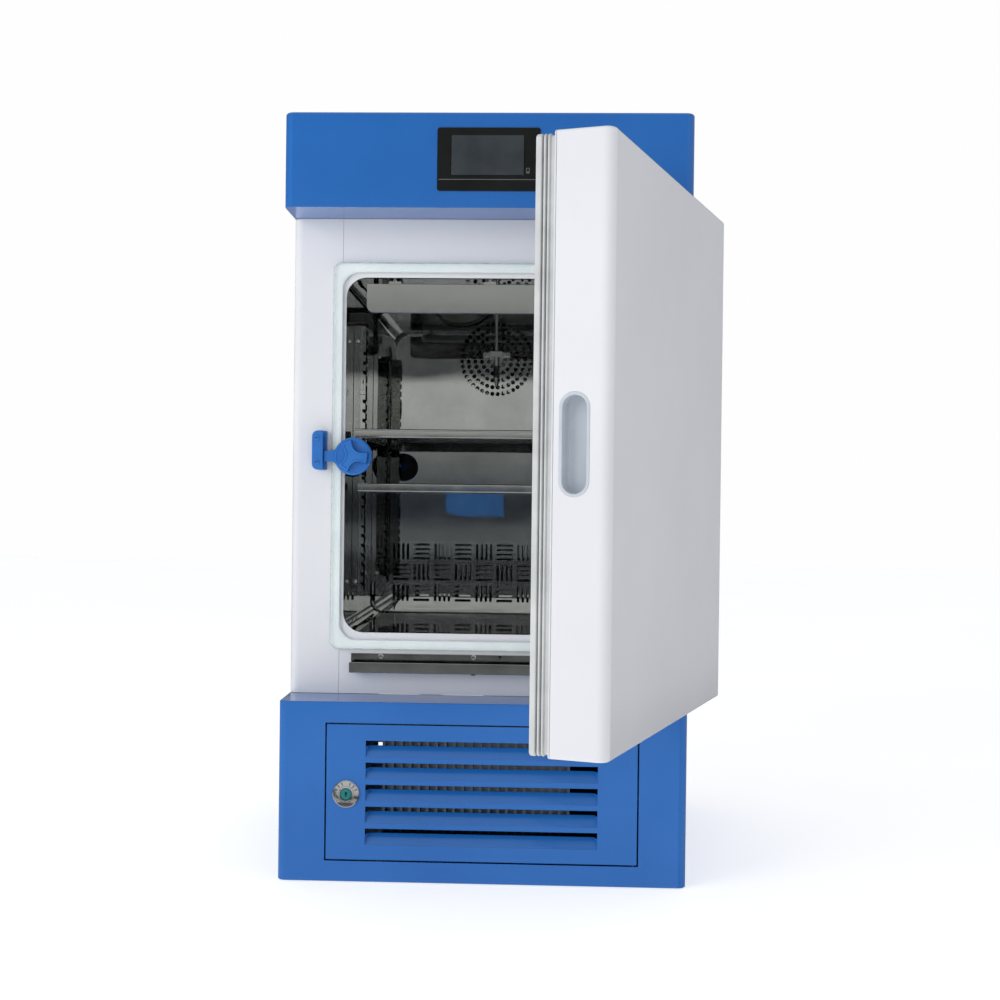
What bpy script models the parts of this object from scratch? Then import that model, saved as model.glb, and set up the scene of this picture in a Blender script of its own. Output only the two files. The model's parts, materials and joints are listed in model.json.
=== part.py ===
"""Laboratory incubator: a floor-standing cabinet with a mirror-polished chamber behind an
inner glass door, a solid outer door standing open, and a louvred service door in the plinth.

Frame: +Z up, the front faces -Y, and the origin is the centre of the base on the floor.
Sizes are in millimetres. A y in this script is a depth behind the cabinet's front plane,
so y = 0 is the front of header and plinth; finish() moves it into the centred frame and
turns millimetres into metres.
"""

import math

import bmesh
import bpy
from mathutils import Matrix, Vector

MM = 0.001

# Cabinet
HALF = 275.0            # half the width
DEPTH = 540.0           # header and plinth, front to back
HEIGHT = 1035.0
PLINTH_TOP = 242.0
HEADER_BOTTOM = 907.0
SETBACK = 80.5          # body front behind the header's front plane
REAR = 538.0            # where the side walls end and the rear cover begins
EDGE_R = 12.0           # rounded upright edges
SHEET = 1.5             # painted sheet steel
THIN = 1.2              # stainless sheet
GAP = 0.3               # between pieces that touch

# Chamber
OPEN_X = 200.0
OPEN_Z = (327.8, 825.0)
OPEN_R = 28.0
LINER_R = 17.0          # the liner's corners are tighter than the opening's
SEAM_X = 205.0          # joint between the front fascia and the two side panels
PANEL_Y = 430.0         # perforated air panel at the back of the chamber
LINER_BACK = 490.0
FAN_Z = 746.0           # circulation fan's height, on the centre line
WEAVE_PITCH = 34.2      # basket-weave air slots
SLOT = (26.3, 3.6)

# Shelves and their rails
RAIL_Z = (378.0, 767.0)
FRONT_RAIL = (163.0, 17.2)      # depth of its face, and how far it stands off the wall
REAR_RAIL = (404.0, 24.2)
SHELF_TOP = {"upper": 615.0, "lower": 538.0}
SHELF_FRONT = {"upper": 110.0, "lower": 145.0}
SHELF_LIP = 13.4
SHELF_HALF = 180.5

# Outer door, drawn closed and then opened by DOOR_REST
DOOR_X = (-273.0, 275.0)
DOOR_Z = (251.0, 898.5)
DOOR_T = 64.0
DOOR_R = 14.0
DOOR_AXIS = (262.0, 66.0)
DOOR_REST = 71.0
DISH_X = 246.0          # the liner is dished to clear the glass door's latch
DISH_Z = (270.5, 868.0)
DISH_FLOOR = 44.0
GASKET_X = 262.0
GASKET_W = 15.0
GASKET_IN = 3.0         # from the door's top and bottom edges
HANDLE_Z = (524.5, 625.8)
HANDLE_Y = (31.0, 57.0)

# Glass door
GLASS_X = 217.0
GLASS_Z = (305.0, 844.5)
GLASS_Y = (68.3, 73.3)
SEAL_W = 13.5
GLASS_AXIS = (226.0, 66.0)
LATCH_X = -186.0
LATCH_Z = 574.0
LATCH_R = 26.3
KEEPER_X = (-243.0, -224.7)
KEEPER_Z = (555.0, 609.5)

# Service door in the plinth
ACCESS_X = 209.0
ACCESS_Z = (29.5, 211.5)
ACCESS_AXIS = (204.0, 5.0)
LOUVRE_X = 156.0
LOUVRE_TOP = 190.0
LOUVRE_PITCH = 29.6
LOUVRE_COUNT = 5
LOUVRE_H = 22.0
LOUVRE_IN = 12.0        # how far a blade leans in behind the sheet
LOCK_X = -182.0
LOCK_Z = 118.0

# Touch panel
BEZEL_X = 69.0
BEZEL_Z = (929.0, 1014.0)
SCREEN_X = (-50.0, 47.0)
SCREEN_Z = (950.4, 1003.6)


# ---------------------------------------------------------------- materials

def principled(name, colour, roughness, metallic=0.0, transmission=0.0):
    """A Principled material from an sRGB hex colour."""
    material = bpy.data.materials.new(name)
    material.use_nodes = True
    shader = material.node_tree.nodes["Principled BSDF"]
    srgb = [int(colour[i:i + 2], 16) / 255 for i in (1, 3, 5)]
    linear = [c / 12.92 if c <= 0.04045 else ((c + 0.055) / 1.055) ** 2.4 for c in srgb]
    shader.inputs["Base Color"].default_value = (*linear, 1.0)
    shader.inputs["Roughness"].default_value = roughness
    shader.inputs["Metallic"].default_value = metallic
    shader.inputs["Transmission Weight"].default_value = transmission
    material.diffuse_color = (*linear, 1.0)
    return material


FINISH = {
    "blue": ("#2f66ae", 0.32, 0.0, 0.0),
    "white": ("#d9dae0", 0.35, 0.0, 0.0),
    "plastic_white": ("#d6d8d9", 0.45, 0.0, 0.0),
    "steel": ("#b4b7b8", 0.16, 1.0, 0.0),
    "zinc": ("#9a9da0", 0.45, 0.9, 0.0),
    "foam": ("#e3d9b4", 0.9, 0.0, 0.0),
    "rubber": ("#d3d6d5", 0.6, 0.0, 0.0),
    "silicone": ("#cfdcd9", 0.5, 0.0, 0.0),
    "glass": ("#dfeceb", 0.03, 0.0, 0.9),
    "latch_blue": ("#2f76c4", 0.4, 0.0, 0.0),
    "black": ("#131412", 0.3, 0.0, 0.0),
    "screen": ("#3a3f42", 0.15, 0.0, 0.0),
    "chrome": ("#cfcac2", 0.2, 1.0, 0.0),
    "teal": ("#1f7d7d", 0.35, 0.0, 0.0),
    "aluminium": ("#b9bcbe", 0.4, 1.0, 0.0),
    "lamp": ("#eef1f2", 0.4, 0.0, 0.0),
}


# ---------------------------------------------------------------- shapes

def arc(cx, cy, r, start, end, steps=5):
    """Points on an arc, in degrees, both ends included."""
    turn = [math.radians(start + (end - start) * i / steps) for i in range(steps + 1)]
    return [(cx + r * math.cos(t), cy + r * math.sin(t)) for t in turn]


def rounded_rect(u0, u1, v0, v1, r, steps=5):
    """A rectangle's outline; r is one radius or four, from the low corner anticlockwise."""
    radii = r if isinstance(r, tuple) else (r, r, r, r)
    corners = [(u0, v0, 180, 1, 1), (u1, v0, 270, -1, 1), (u1, v1, 0, -1, -1), (u0, v1, 90, 1, -1)]
    points = []
    for (u, v, start, du, dv), radius in zip(corners, radii):
        if radius <= 0:
            points.append((u, v))
        else:
            points += arc(u + du * radius, v + dv * radius, radius, start, start + 90, steps)
    return points


def circle(cu, cv, r, sides=32):
    """A round outline."""
    return arc(cu, cv, r, 0, 360, sides)[:-1]


def cover_plan(half, front, back, r):
    """The plan of a cover: straight sides and rounded front corners, square at the back."""
    return rounded_rect(-half, half, front, back, (r, r, 0, 0))


def prism(outline, axis, low, high, holes=()):
    """A flat outline, with holes, pushed along an axis: X takes (y, z), Y (x, z), Z (x, y)."""
    place = {
        "X": lambda u, v, a: (a, u, v),
        "Y": lambda u, v, a: (u, a, v),
        "Z": lambda u, v, a: (u, v, a),
    }[axis]
    bm = bmesh.new()
    for loop in (outline, *holes):
        verts = [bm.verts.new(place(u, v, low)) for u, v in loop]
        if not holes:
            bm.faces.new(verts)
            continue
        for one, two in zip(verts, verts[1:] + verts[:1]):
            bm.edges.new((one, two))
    if holes:
        bmesh.ops.triangle_fill(bm, use_beauty=True, edges=bm.edges[:])
    pushed = bmesh.ops.extrude_face_region(bm, geom=bm.faces[:])["geom"]
    verts = [item for item in pushed if isinstance(item, bmesh.types.BMVert)]
    bmesh.ops.translate(bm, verts=verts, vec=Vector(place(0, 0, high - low)))
    bmesh.ops.recalc_face_normals(bm, faces=bm.faces[:])
    return bm


def box(x0, x1, y0, y1, z0, z1):
    """A block between two corners."""
    return prism([(x0, y0), (x1, y0), (x1, y1), (x0, y1)], "Z", z0, z1)


def rod(axis, u, v, r, low, high, sides=24):
    """A cylinder along an axis."""
    return prism(circle(u, v, r, sides), axis, low, high)


def turned(profile, axis, u, v, sides=28):
    """A solid turned about an axis through (u, v) from (radius, height) points, low to high."""
    place = {"Y": lambda a, b, h: (u + a, h, v + b), "Z": lambda a, b, h: (u + a, v + b, h)}[axis]
    bm = bmesh.new()
    rings = []
    for r, h in profile:
        rings.append([bm.verts.new(place(a, b, h)) for a, b in circle(0, 0, r, sides)])
    for low, high in zip(rings, rings[1:]):
        for i in range(sides):
            j = (i + 1) % sides
            bm.faces.new((low[i], low[j], high[j], high[i]))
    bm.faces.new(rings[0])
    bm.faces.new(rings[-1])
    bmesh.ops.recalc_face_normals(bm, faces=bm.faces[:])
    return bm


def comb(x0, x1, y0, y1, fins, root, thickness):
    """The plan of a finned block: a root strip along y1 and fins reaching to y0."""
    points = [(x0, y1), (x0, y1 - root)]
    pitch = (x1 - x0 - thickness) / (fins - 1)
    for i in range(fins):
        left = x0 + i * pitch
        if i:
            points.append((left, y1 - root))
        points += [(left, y0), (left + thickness, y0)]
        if i < fins - 1:
            points.append((left + thickness, y1 - root))
    points.append((x1, y1))
    return points


def merged(*parts):
    """Several shapes in one mesh, for use as a single cutter or addition."""
    bm = bmesh.new()
    for part in parts:
        mesh = bpy.data.meshes.new("scratch")
        part.to_mesh(mesh)
        part.free()
        bm.from_mesh(mesh)
        bpy.data.meshes.remove(mesh)
    return bm


def to_metres(bm, pivot):
    """Move a shape so that its joint axis is at the origin, and scale it to metres."""
    bmesh.ops.translate(bm, verts=bm.verts[:], vec=-Vector(pivot))
    bmesh.ops.scale(bm, verts=bm.verts[:], vec=(MM, MM, MM))


def finish(name, look, bm, pivot=(0, 0, 0), turn=0.0, cut=(), add=()):
    """Make the named object. cut and add are shapes taken away or joined by Booleans."""
    to_metres(bm, pivot)
    mesh = bpy.data.meshes.new(name)
    bm.to_mesh(mesh)
    bm.free()
    mesh.shade_smooth()
    mesh.set_sharp_from_angle(angle=math.radians(32))
    obj = bpy.data.objects.new(name, mesh)
    bpy.context.collection.objects.link(obj)
    obj.location = (pivot[0] * MM, (pivot[1] - DEPTH / 2) * MM, pivot[2] * MM)
    obj.rotation_euler.z = math.radians(turn)
    mesh.materials.append(principled(name, *FINISH[look]))
    for operation, tools in (("UNION", add), ("DIFFERENCE", cut)):
        for index, tool in enumerate(tools):
            to_metres(tool, pivot)
            tool_mesh = bpy.data.meshes.new(f"{name}_{operation.lower()}_{index}")
            tool.to_mesh(tool_mesh)
            tool.free()
            guide = bpy.data.objects.new(tool_mesh.name, tool_mesh)
            bpy.context.collection.objects.link(guide)
            guide.matrix_world = obj.matrix_basis
            guide.hide_render = True
            guide.display_type = "WIRE"
            modifier = obj.modifiers.new(tool_mesh.name, "BOOLEAN")
            modifier.operation = operation
            modifier.object = guide
            modifier.solver = "EXACT"
    return obj


# ---------------------------------------------------------------- cabinet shell

def header_cover():
    """Blue top cover, open at the back and, behind its front ledge, underneath."""
    inner = cover_plan(HALF - SHEET, SHEET, REAR + 20, EDGE_R - SHEET)
    finish(
        "header_cover", "blue",
        prism(cover_plan(HALF, 0, REAR, EDGE_R), "Z", HEADER_BOTTOM, HEIGHT),
        cut=[
            prism(inner, "Z", HEADER_BOTTOM + SHEET, HEIGHT - SHEET),
            box(-HALF + SHEET, HALF - SHEET, SETBACK, REAR + 20, HEADER_BOTTOM - 5, HEADER_BOTTOM + 5),
            box(SCREEN_X[0] - 2, SCREEN_X[1] + 2, -5, 5, SCREEN_Z[0] - 2, SCREEN_Z[1] + 2),
        ],
    )


def plinth_cover():
    """Blue plinth around the cooling unit, with the service opening in its front."""
    inner = cover_plan(HALF - SHEET, SHEET, REAR + 20, EDGE_R - SHEET)
    finish(
        "plinth_cover", "blue",
        prism(cover_plan(HALF, 0, REAR, EDGE_R), "Z", 0, PLINTH_TOP),
        cut=[
            prism(inner, "Z", -5, PLINTH_TOP - SHEET),
            box(-HALF + SHEET, HALF - SHEET, SETBACK, REAR + 20, PLINTH_TOP - 5, PLINTH_TOP + 5),
            box(-ACCESS_X - 2, ACCESS_X + 2, -5, 5, ACCESS_Z[0] - 2, ACCESS_Z[1] + 2),
        ],
    )


def base_pan():
    """Flat steel pan that the cabinet stands on."""
    plan = cover_plan(HALF - 1.9, 1.9, REAR - 0.5, EDGE_R - 1.9)
    finish("base_pan", "zinc", prism(plan, "Z", 0, 3))


def side_panels():
    """Left and right sheets, each folded round the front corner into a narrow stile."""
    y = SETBACK
    for name, side in (("left_side_panel", -1), ("right_side_panel", 1)):
        outer = arc(HALF - EDGE_R, y + EDGE_R, EDGE_R, -90, 0)
        inner = arc(HALF - EDGE_R, y + EDGE_R, EDGE_R - SHEET, 0, -90)
        plan = [(SEAM_X + 0.4, y), *outer, (HALF, REAR), (HALF - SHEET, REAR), *inner]
        plan.append((SEAM_X + 0.4, y + SHEET))
        plan = [(side * x, depth) for x, depth in plan]
        finish(name, "white", prism(plan, "Z", PLINTH_TOP + GAP, HEADER_BOTTOM - GAP))


def front_fascia():
    """Front sheet between the stiles, with the rounded chamber opening."""
    outline = rounded_rect(-SEAM_X, SEAM_X, PLINTH_TOP + GAP, HEADER_BOTTOM - GAP, 0)
    opening = rounded_rect(-OPEN_X, OPEN_X, *OPEN_Z, OPEN_R, 8)
    finish("front_fascia", "white", prism(outline, "Y", SETBACK, SETBACK + SHEET, [opening]))


def vent(x, z, count, length=70.0, height=6.0, pitch=14.0):
    """A ladder of level slots, as outlines."""
    return [rounded_rect(x, x + length, z + i * pitch, z + i * pitch + height, 0) for i in range(count)]


def rear_cover():
    """Back sheet with air slots and the hole for the mains inlet."""
    holes = [*vent(-200, 60, 9), *vent(-90, 60, 9), *vent(-35, 950, 4)]
    holes.append(rounded_rect(181.4, 218.6, 178, 202, 0))
    outline = rounded_rect(-HALF, HALF, 0.5, HEIGHT, 0)
    finish("rear_cover", "white", prism(outline, "Y", REAR + GAP, REAR + GAP + SHEET, holes))


def power_inlet():
    """Mains inlet socket on the rear cover."""
    finish(
        "power_inlet", "black", box(175, 225, 540.1, 542.1, 175, 205),
        add=[box(182, 218, 515, 541, 178.6, 201.4)],
        cut=[box(186, 214, 525, 550, 182, 198)],
    )


def insulation():
    """Foam between the outer sheets and the chamber liner."""
    inner = rounded_rect(-OPEN_X - 1.5, OPEN_X + 1.5, OPEN_Z[0] - 1.5, OPEN_Z[1] + 1.5, LINER_R + 1.5)
    plan = cover_plan(HALF - 1.8, SETBACK + 1.8, 520, EDGE_R - 1.8)
    finish(
        "insulation", "foam", prism(plan, "Z", PLINTH_TOP + 0.6, HEADER_BOTTOM - 0.6),
        cut=[prism(inner, "Y", 0, LINER_BACK + 1.5), rod("Y", 0, FAN_Z, 33, 480, 530)],
    )


def control_unit():
    """Controller box on top of the foam, behind the touch panel."""
    finish("control_unit", "zinc", box(-90, 90, 150, 330, HEADER_BOTTOM - GAP, 985))


def touch_panel():
    """Black bezel on the header, and the display set in its window."""
    window = rounded_rect(SCREEN_X[0] - GAP, SCREEN_X[1] + GAP, SCREEN_Z[0] - GAP, SCREEN_Z[1] + GAP, 0)
    outline = rounded_rect(-BEZEL_X, BEZEL_X, *BEZEL_Z, 3, 3)
    finish("touch_bezel", "black", prism(outline, "Y", -2.0, -GAP, [window]))
    finish("touch_screen", "screen", box(*SCREEN_X, -1.7, 8, *SCREEN_Z))


# ---------------------------------------------------------------- chamber

def chamber_liner():
    """Stainless box, open at the front, with a hole for the fan's shaft."""
    outer = rounded_rect(-OPEN_X - THIN, OPEN_X + THIN, OPEN_Z[0] - THIN, OPEN_Z[1] + THIN, LINER_R + THIN)
    inner = rounded_rect(-OPEN_X, OPEN_X, *OPEN_Z, LINER_R)
    finish(
        "chamber_liner", "steel", prism(outer, "Y", SETBACK + 1.8, LINER_BACK + THIN),
        cut=[prism(inner, "Y", 0, LINER_BACK), rod("Y", 0, FAN_Z, 8, 480, 500)],
    )


def weave_block(x, z, upright):
    """Four parallel slots in a square, level or upright."""
    length, width = SLOT
    spread = (length - width) / 3
    slots = []
    for i in range(4):
        shift = (i - 1.5) * spread
        if upright:
            slots.append(rounded_rect(x + shift - width / 2, x + shift + width / 2,
                                      z - length / 2, z + length / 2, 0))
        else:
            slots.append(rounded_rect(x - length / 2, x + length / 2,
                                      z + shift - width / 2, z + shift + width / 2, 0))
    return slots


def air_panel():
    """Back wall of the chamber: rings of holes before the fan, basket-weave slots low down."""
    holes = []
    for radius, count in ((57.0, 40), (46.0, 32), (35.0, 24), (24.0, 16), (13.0, 9)):
        for i in range(count):
            angle = 2 * math.pi * i / count
            holes.append(circle(radius * math.cos(angle), FAN_Z + radius * math.sin(angle), 3.2, 4))
    for row in range(3):
        for column in range(10):
            upright = (row + column) % 2 == 0
            x = (column - 4.5) * WEAVE_PITCH
            holes += weave_block(x, 428.5 - row * WEAVE_PITCH, upright)
    outline = rounded_rect(-196, 196, OPEN_Z[0] + 1.2, 821, 14)
    finish("air_panel", "steel", prism(outline, "Y", PANEL_Y, PANEL_Y + THIN, holes))


def lamp():
    """Lamp strip under the ceiling, behind an upright shade with a turned-in hem."""
    face = rounded_rect(-174, 174, 778, 822.4, (9, 9, 0, 0))
    finish(
        "lamp_shade", "steel", prism(face, "Y", 97, 97 + THIN),
        add=[merged(box(-165, 165, 97.5, 103, 778, 779.2), box(-174, 174, 97.5, 125, 821.2, 822.4))],
    )
    finish("lamp_strip", "lamp", box(-150, 150, 104, 120, 808, 820.9))


def rails():
    """Four upright channels on the side walls, open towards the shelves."""
    for side, side_name in ((-1, "left"), (1, "right")):
        for place, (y, reach) in (("front", FRONT_RAIL), ("rear", REAR_RAIL)):
            wall = OPEN_X - GAP
            tip = wall - reach
            plan = [(tip, y), (wall, y), (wall, y + 24), (tip, y + 24), (tip, y + 22.5)]
            plan += [(wall - 1.5, y + 22.5), (wall - 1.5, y + 1.5), (tip, y + 1.5)]
            plan = [(side * x, depth) for x, depth in plan]
            finish(f"{place}_{side_name}_rail", "steel", prism(plan, "Z", *RAIL_Z))


def runners():
    """Angle strips between the rails that carry the shelves."""
    for level, top in SHELF_TOP.items():
        under = top - SHEET - GAP
        for side, side_name in ((-1, "left"), (1, "right")):
            x = OPEN_X - GAP - FRONT_RAIL[1] - GAP
            section = [(x, under - 12), (x, under), (x - 16, under), (x - 16, under - THIN)]
            section += [(x - THIN, under - THIN), (x - THIN, under - 12)]
            section = [(side * a, b) for a, b in section]
            finish(f"{level}_{side_name}_runner", "steel",
                   prism(section, "Y", 160, REAR_RAIL[0] - GAP))


def shelves():
    """Perforated shelves with a channel-shaped front edge wider than the tray."""
    for level, top in SHELF_TOP.items():
        front = SHELF_FRONT[level]
        back = 400.0
        holes = []
        for row in range(4):
            for column in range(6):
                x = (column - 2.5) * 52
                y = front + 48 + row * 62
                holes.append(rounded_rect(x - 20, x + 20, y, y + 12, 0))
        outline = rounded_rect(-SHELF_HALF, SHELF_HALF, front + 1, back, 0)
        edge = [(front, top - SHELF_LIP), (front + 12, top - SHELF_LIP)]
        edge += [(front + 12, top - SHELF_LIP + 1.5), (front + 1.5, top - SHELF_LIP + 1.5)]
        edge += [(front + 1.5, top), (front, top)]
        finish(
            f"{level}_shelf", "steel", prism(outline, "Z", top - SHEET, top, holes),
            add=[prism(edge, "X", -190, 190),
                 box(-SHELF_HALF + 20, SHELF_HALF - 20, back - 1.5, back, top - 9, top - 1)],
        )


def probe():
    """Temperature probe hanging from the ceiling, its clamp, and its lead."""
    y = 412.0
    shape = [(1.2, 698), (4.3, 712), (4.3, 757), (2.7, 758), (2.7, 816), (7, 816.2), (7, OPEN_Z[1] - GAP)]
    finish("temperature_probe", "steel", turned(shape, "Z", 0, y, 16))
    plan = [(-22, 426.5), (-10, 426.5), (-10, 405), (10, 405), (10, 426.5), (22, 426.5)]
    plan += [(22, PANEL_Y - GAP), (-22, PANEL_Y - GAP)]
    finish("probe_clamp", "steel", prism(plan, "Z", 747.5, 756.5, [circle(0, y, 4.6, 20)]))
    lead = [(-98, 418, 824), (-96, 418, 815), (-80, 418, 804), (-58, 417, 801), (-36, 415, 805)]
    lead += [(-20, 412, 814), (-12, 412, 819), (-7.8, 412, 819.4)]
    cable("sensor_cable", "black", lead, 2.6)


def cable(name, look, points, radius):
    """A round lead along a smooth curve through the points."""
    spots = [Vector(p) for p in points]
    ends = [2 * spots[0] - spots[1], *spots, 2 * spots[-1] - spots[-2]]
    path = []
    for before, here, there, after in zip(ends, ends[1:], ends[2:], ends[3:]):
        for step in range(4):
            t = step / 4
            path.append(0.5 * ((2 * here) + (there - before) * t
                               + (2 * before - 5 * here + 4 * there - after) * t * t
                               + (3 * here - before - 3 * there + after) * t ** 3))
    path.append(spots[-1])
    curve = bpy.data.curves.new(name, "CURVE")
    curve.dimensions = "3D"
    curve.bevel_depth = radius * MM
    curve.bevel_resolution = 2
    curve.use_fill_caps = True
    spline = curve.splines.new("POLY")
    spline.points.add(len(path) - 1)
    for point, spot in zip(spline.points, path):
        point.co = (spot.x * MM, (spot.y - DEPTH / 2) * MM, spot.z * MM, 1)
    obj = bpy.data.objects.new(name, curve)
    bpy.context.collection.objects.link(obj)
    curve.materials.append(principled(name, *FINISH[look]))


def fan_rotor(name, look, centre, hub_r, tip_r, span, blades, lean, extra=None, bore=0.0):
    """A fan wheel turning about Y: a hub with flat leaning blades, and a shaft or a bore."""
    x, z = centre
    parts = []
    for i in range(blades):
        blade = box(hub_r - 3, tip_r, -1, 1, -(span[1] - span[0]) * 0.42, (span[1] - span[0]) * 0.42)
        turn = Matrix.Rotation(math.radians(lean), 4, "X")
        swing = Matrix.Rotation(2 * math.pi * i / blades, 4, "Y")
        flat = Matrix.Rotation(math.radians(90), 4, "X")
        middle = Matrix.Translation((x, (span[0] + span[1]) / 2, z))
        bmesh.ops.transform(blade, verts=blade.verts[:], matrix=middle @ swing @ turn @ flat)
        parts.append(blade)
    pivot = (x, span[0], z)
    add = [merged(*parts)]
    if extra:
        add.append(extra)
    cut = [rod("Y", x, z, bore, span[0] + 4, span[1] + 10, 20)] if bore else []
    finish(name, look, rod("Y", x, z, hub_r, *span, 24), pivot=pivot, add=add, cut=cut)


def air_circuit():
    """Circulation fan behind the air panel, its motor in the foam, and the cooling coil."""
    shaft = rod("Y", 0, FAN_Z, 3, 465, 512, 16)
    fan_rotor("circulation_fan", "aluminium", (0, FAN_Z), 14, 52, (444, 468), 7, 35, extra=shaft)
    finish("fan_motor", "zinc", rod("Y", 0, FAN_Z, 30, 492, 532, 28),
           cut=[rod("Y", 0, FAN_Z, 3.4, 485, 516, 16)])
    finish("evaporator", "aluminium", prism(comb(-150, 150, 440, 476, 24, 10, 4), "Z", 500, 640))


# ---------------------------------------------------------------- front fittings

def drip_tray():
    """Stainless gutter under the chamber opening, with closed ends."""
    low, high, rim, flange = 274.0, 299.0, 288.5, 80.2
    section = [(57.7, low), (flange, low), (flange, high), (flange - THIN, high)]
    section += [(flange - THIN, low + THIN), (57.7 + THIN, low + THIN), (57.7 + THIN, rim), (57.7, rim)]
    finish(
        "drip_tray", "steel", prism(section, "X", -188, 156),
        add=[merged(box(-188, -186.8, 58, 80, low + 0.4, rim - 1), box(154.8, 156, 58, 80, low + 0.4, rim - 1))],
    )


def latch_keeper():
    """Blue keeper on the left stile: a lip over a slot that is open to the right."""
    x0, x1 = KEEPER_X
    lip = x1 - 3
    plan = [(x0, 58), (lip, 58), (lip, 61.5), (x0 + 8, 61.5), (x0 + 8, 72), (x1, 72)]
    plan += [(x1, SETBACK - GAP), (x0, SETBACK - GAP)]
    obj = finish("latch_keeper", "latch_blue", prism(plan, "Z", *KEEPER_Z),
                 cut=[prism(rounded_rect(x0, x1 + 5, *KEEPER_Z, (8, 0, 0, 8)), "Y", 50, 90)])
    obj.modifiers[0].operation = "INTERSECT"


def main_hinge_brackets():
    """Brackets on the header's ledge and the plinth's top, each with its pin."""
    x, y = DOOR_AXIS
    for name, plate, pin in (
        ("upper_hinge_bracket", (903.2, HEADER_BOTTOM - GAP), (899.4, 904)),
        ("lower_hinge_bracket", (PLINTH_TOP + GAP, 246.0), (245, 250.1)),
    ):
        finish(name, "zinc", box(228, 271, 34, 76, *plate), pivot=(x, y, 0),
               add=[rod("Z", x, y, 4, *pin)])


def glass_hinge_brackets():
    """Blocks on the fascia's right stile that carry the glass door's pins."""
    x, y = GLASS_AXIS
    for name, z in (("upper_glass_bracket", 800.0), ("lower_glass_bracket", 350.0)):
        finish(
            name, "plastic_white", box(221, 236, 77, SETBACK - GAP, z - 15, z + 15),
            add=[box(221, 231, 61, 78, z + 8, z + 15), box(221, 231, 61, 78, z - 15, z - 8),
                 rod("Z", x, y, 2.5, z - 9, z + 9, 16)],
        )


# ---------------------------------------------------------------- outer door

def door_piece(name, look, bm, cut=(), add=()):
    """A piece of the outer door: drawn closed, stored open about the hinge axis."""
    finish(name, look, bm, pivot=(*DOOR_AXIS, 0), turn=DOOR_REST, cut=cut, add=add)


def outer_door():
    """Painted shell, foam, dished liner, gasket, recessed grip and hinge leaves."""
    x0, x1 = DOOR_X
    z0, z1 = DOOR_Z
    grip = rounded_rect(HANDLE_Y[0] - 1.5, HANDLE_Y[1] + 1.5, HANDLE_Z[0] - 1.5, HANDLE_Z[1] + 1.5, 14.4, 8)
    hole = rounded_rect(HANDLE_Y[0] - 1.9, HANDLE_Y[1] + 1.9, HANDLE_Z[0] - 1.9, HANDLE_Z[1] + 1.9, 14.8, 8)
    hollow = rounded_rect(*HANDLE_Y, *HANDLE_Z, 12.9, 8)
    inner = rounded_rect(x0 + SHEET, x1 - SHEET, SHEET, DOOR_T + 10, (12.5, 12.5, 0, 0))
    door_piece(
        "door_shell", "white",
        prism(rounded_rect(x0, x1, 0, DOOR_T - 2.3, (DOOR_R, DOOR_R, 0, 0)), "Z", z0, z1),
        cut=[prism(inner, "Z", z0 + SHEET, z1 - SHEET), prism(hole, "X", x0 - 5, x0 + 5)],
    )
    door_piece(
        "door_foam", "foam", box(x0 + 14, x1 - 14, 1.9, DISH_FLOOR - 1.9, z0 + 2, z1 - 2),
        cut=[prism(hole, "X", x0 - 5, -251)],
    )
    rim = prism(rounded_rect(x0, x1, z0, z1, 3), "Y", DOOR_T - 2, DOOR_T)
    dish = rounded_rect(-DISH_X, DISH_X, *DISH_Z, 20)
    cup = rounded_rect(-DISH_X + 1.5, DISH_X - 1.5, DISH_Z[0] + 1.5, DISH_Z[1] - 1.5, 18.5)
    door_piece(
        "door_liner", "plastic_white", rim,
        add=[prism(dish, "Y", DISH_FLOOR - 1.5, DOOR_T - 1)],
        cut=[prism(cup, "Y", DISH_FLOOR, DOOR_T + 5)],
    )
    door_piece("door_gasket", "rubber", gasket_frame())
    flange = rounded_rect(HANDLE_Y[0] - 4, HANDLE_Y[1] + 4, HANDLE_Z[0] - 4, HANDLE_Z[1] + 4, 16.9, 8)
    door_piece(
        "handle_cup", "plastic_white", prism(grip, "X", x0 - 0.5, -253),
        add=[prism(flange, "X", x0 - 1.5, x0 - GAP)], cut=[prism(hollow, "X", x0 - 5, -254.5)],
    )
    ax, ay = DOOR_AXIS
    for name, low, high in (("upper_hinge_leaf", z1 + GAP, 901.6), ("lower_hinge_leaf", 247.6, z0 - GAP)):
        plan = rounded_rect(220, 271, 22, 73, (0, 0, 8, 0))
        door_piece(name, "zinc", prism(plan, "Z", low, high, [circle(ax, ay, 4.4, 24)]))


def gasket_frame():
    """Bellows gasket: one ribbed section carried round a mitred frame."""
    y0 = DOOR_T + GAP
    y1 = SETBACK - GAP
    ribs = 3
    side = []
    for i in range(ribs):
        low = y0 + (y1 - y0) * i / ribs
        high = y0 + (y1 - y0) * (i + 1) / ribs
        side += [(0.0, low + 0.6), (0.0, high - 1.2), (2.2, high - 0.6)]
    outer = [(0.0, y0), *side[1:-1], (0.0, y1)]
    section = outer + [(GASKET_W - inset, y) for inset, y in reversed(outer)]
    z0 = DOOR_Z[0] + GASKET_IN
    z1 = DOOR_Z[1] - GASKET_IN
    bm = bmesh.new()
    loops = []
    for inset, y in section:
        x = GASKET_X - inset
        corners = [(-x, z0 + inset), (x, z0 + inset), (x, z1 - inset), (-x, z1 - inset)]
        loops.append([bm.verts.new((u, y, v)) for u, v in corners])
    for one, two in zip(loops, loops[1:] + loops[:1]):
        for i in range(4):
            j = (i + 1) % 4
            bm.faces.new((one[i], one[j], two[j], two[i]))
    bmesh.ops.recalc_face_normals(bm, faces=bm.faces[:])
    return bm


# ---------------------------------------------------------------- glass door

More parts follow.
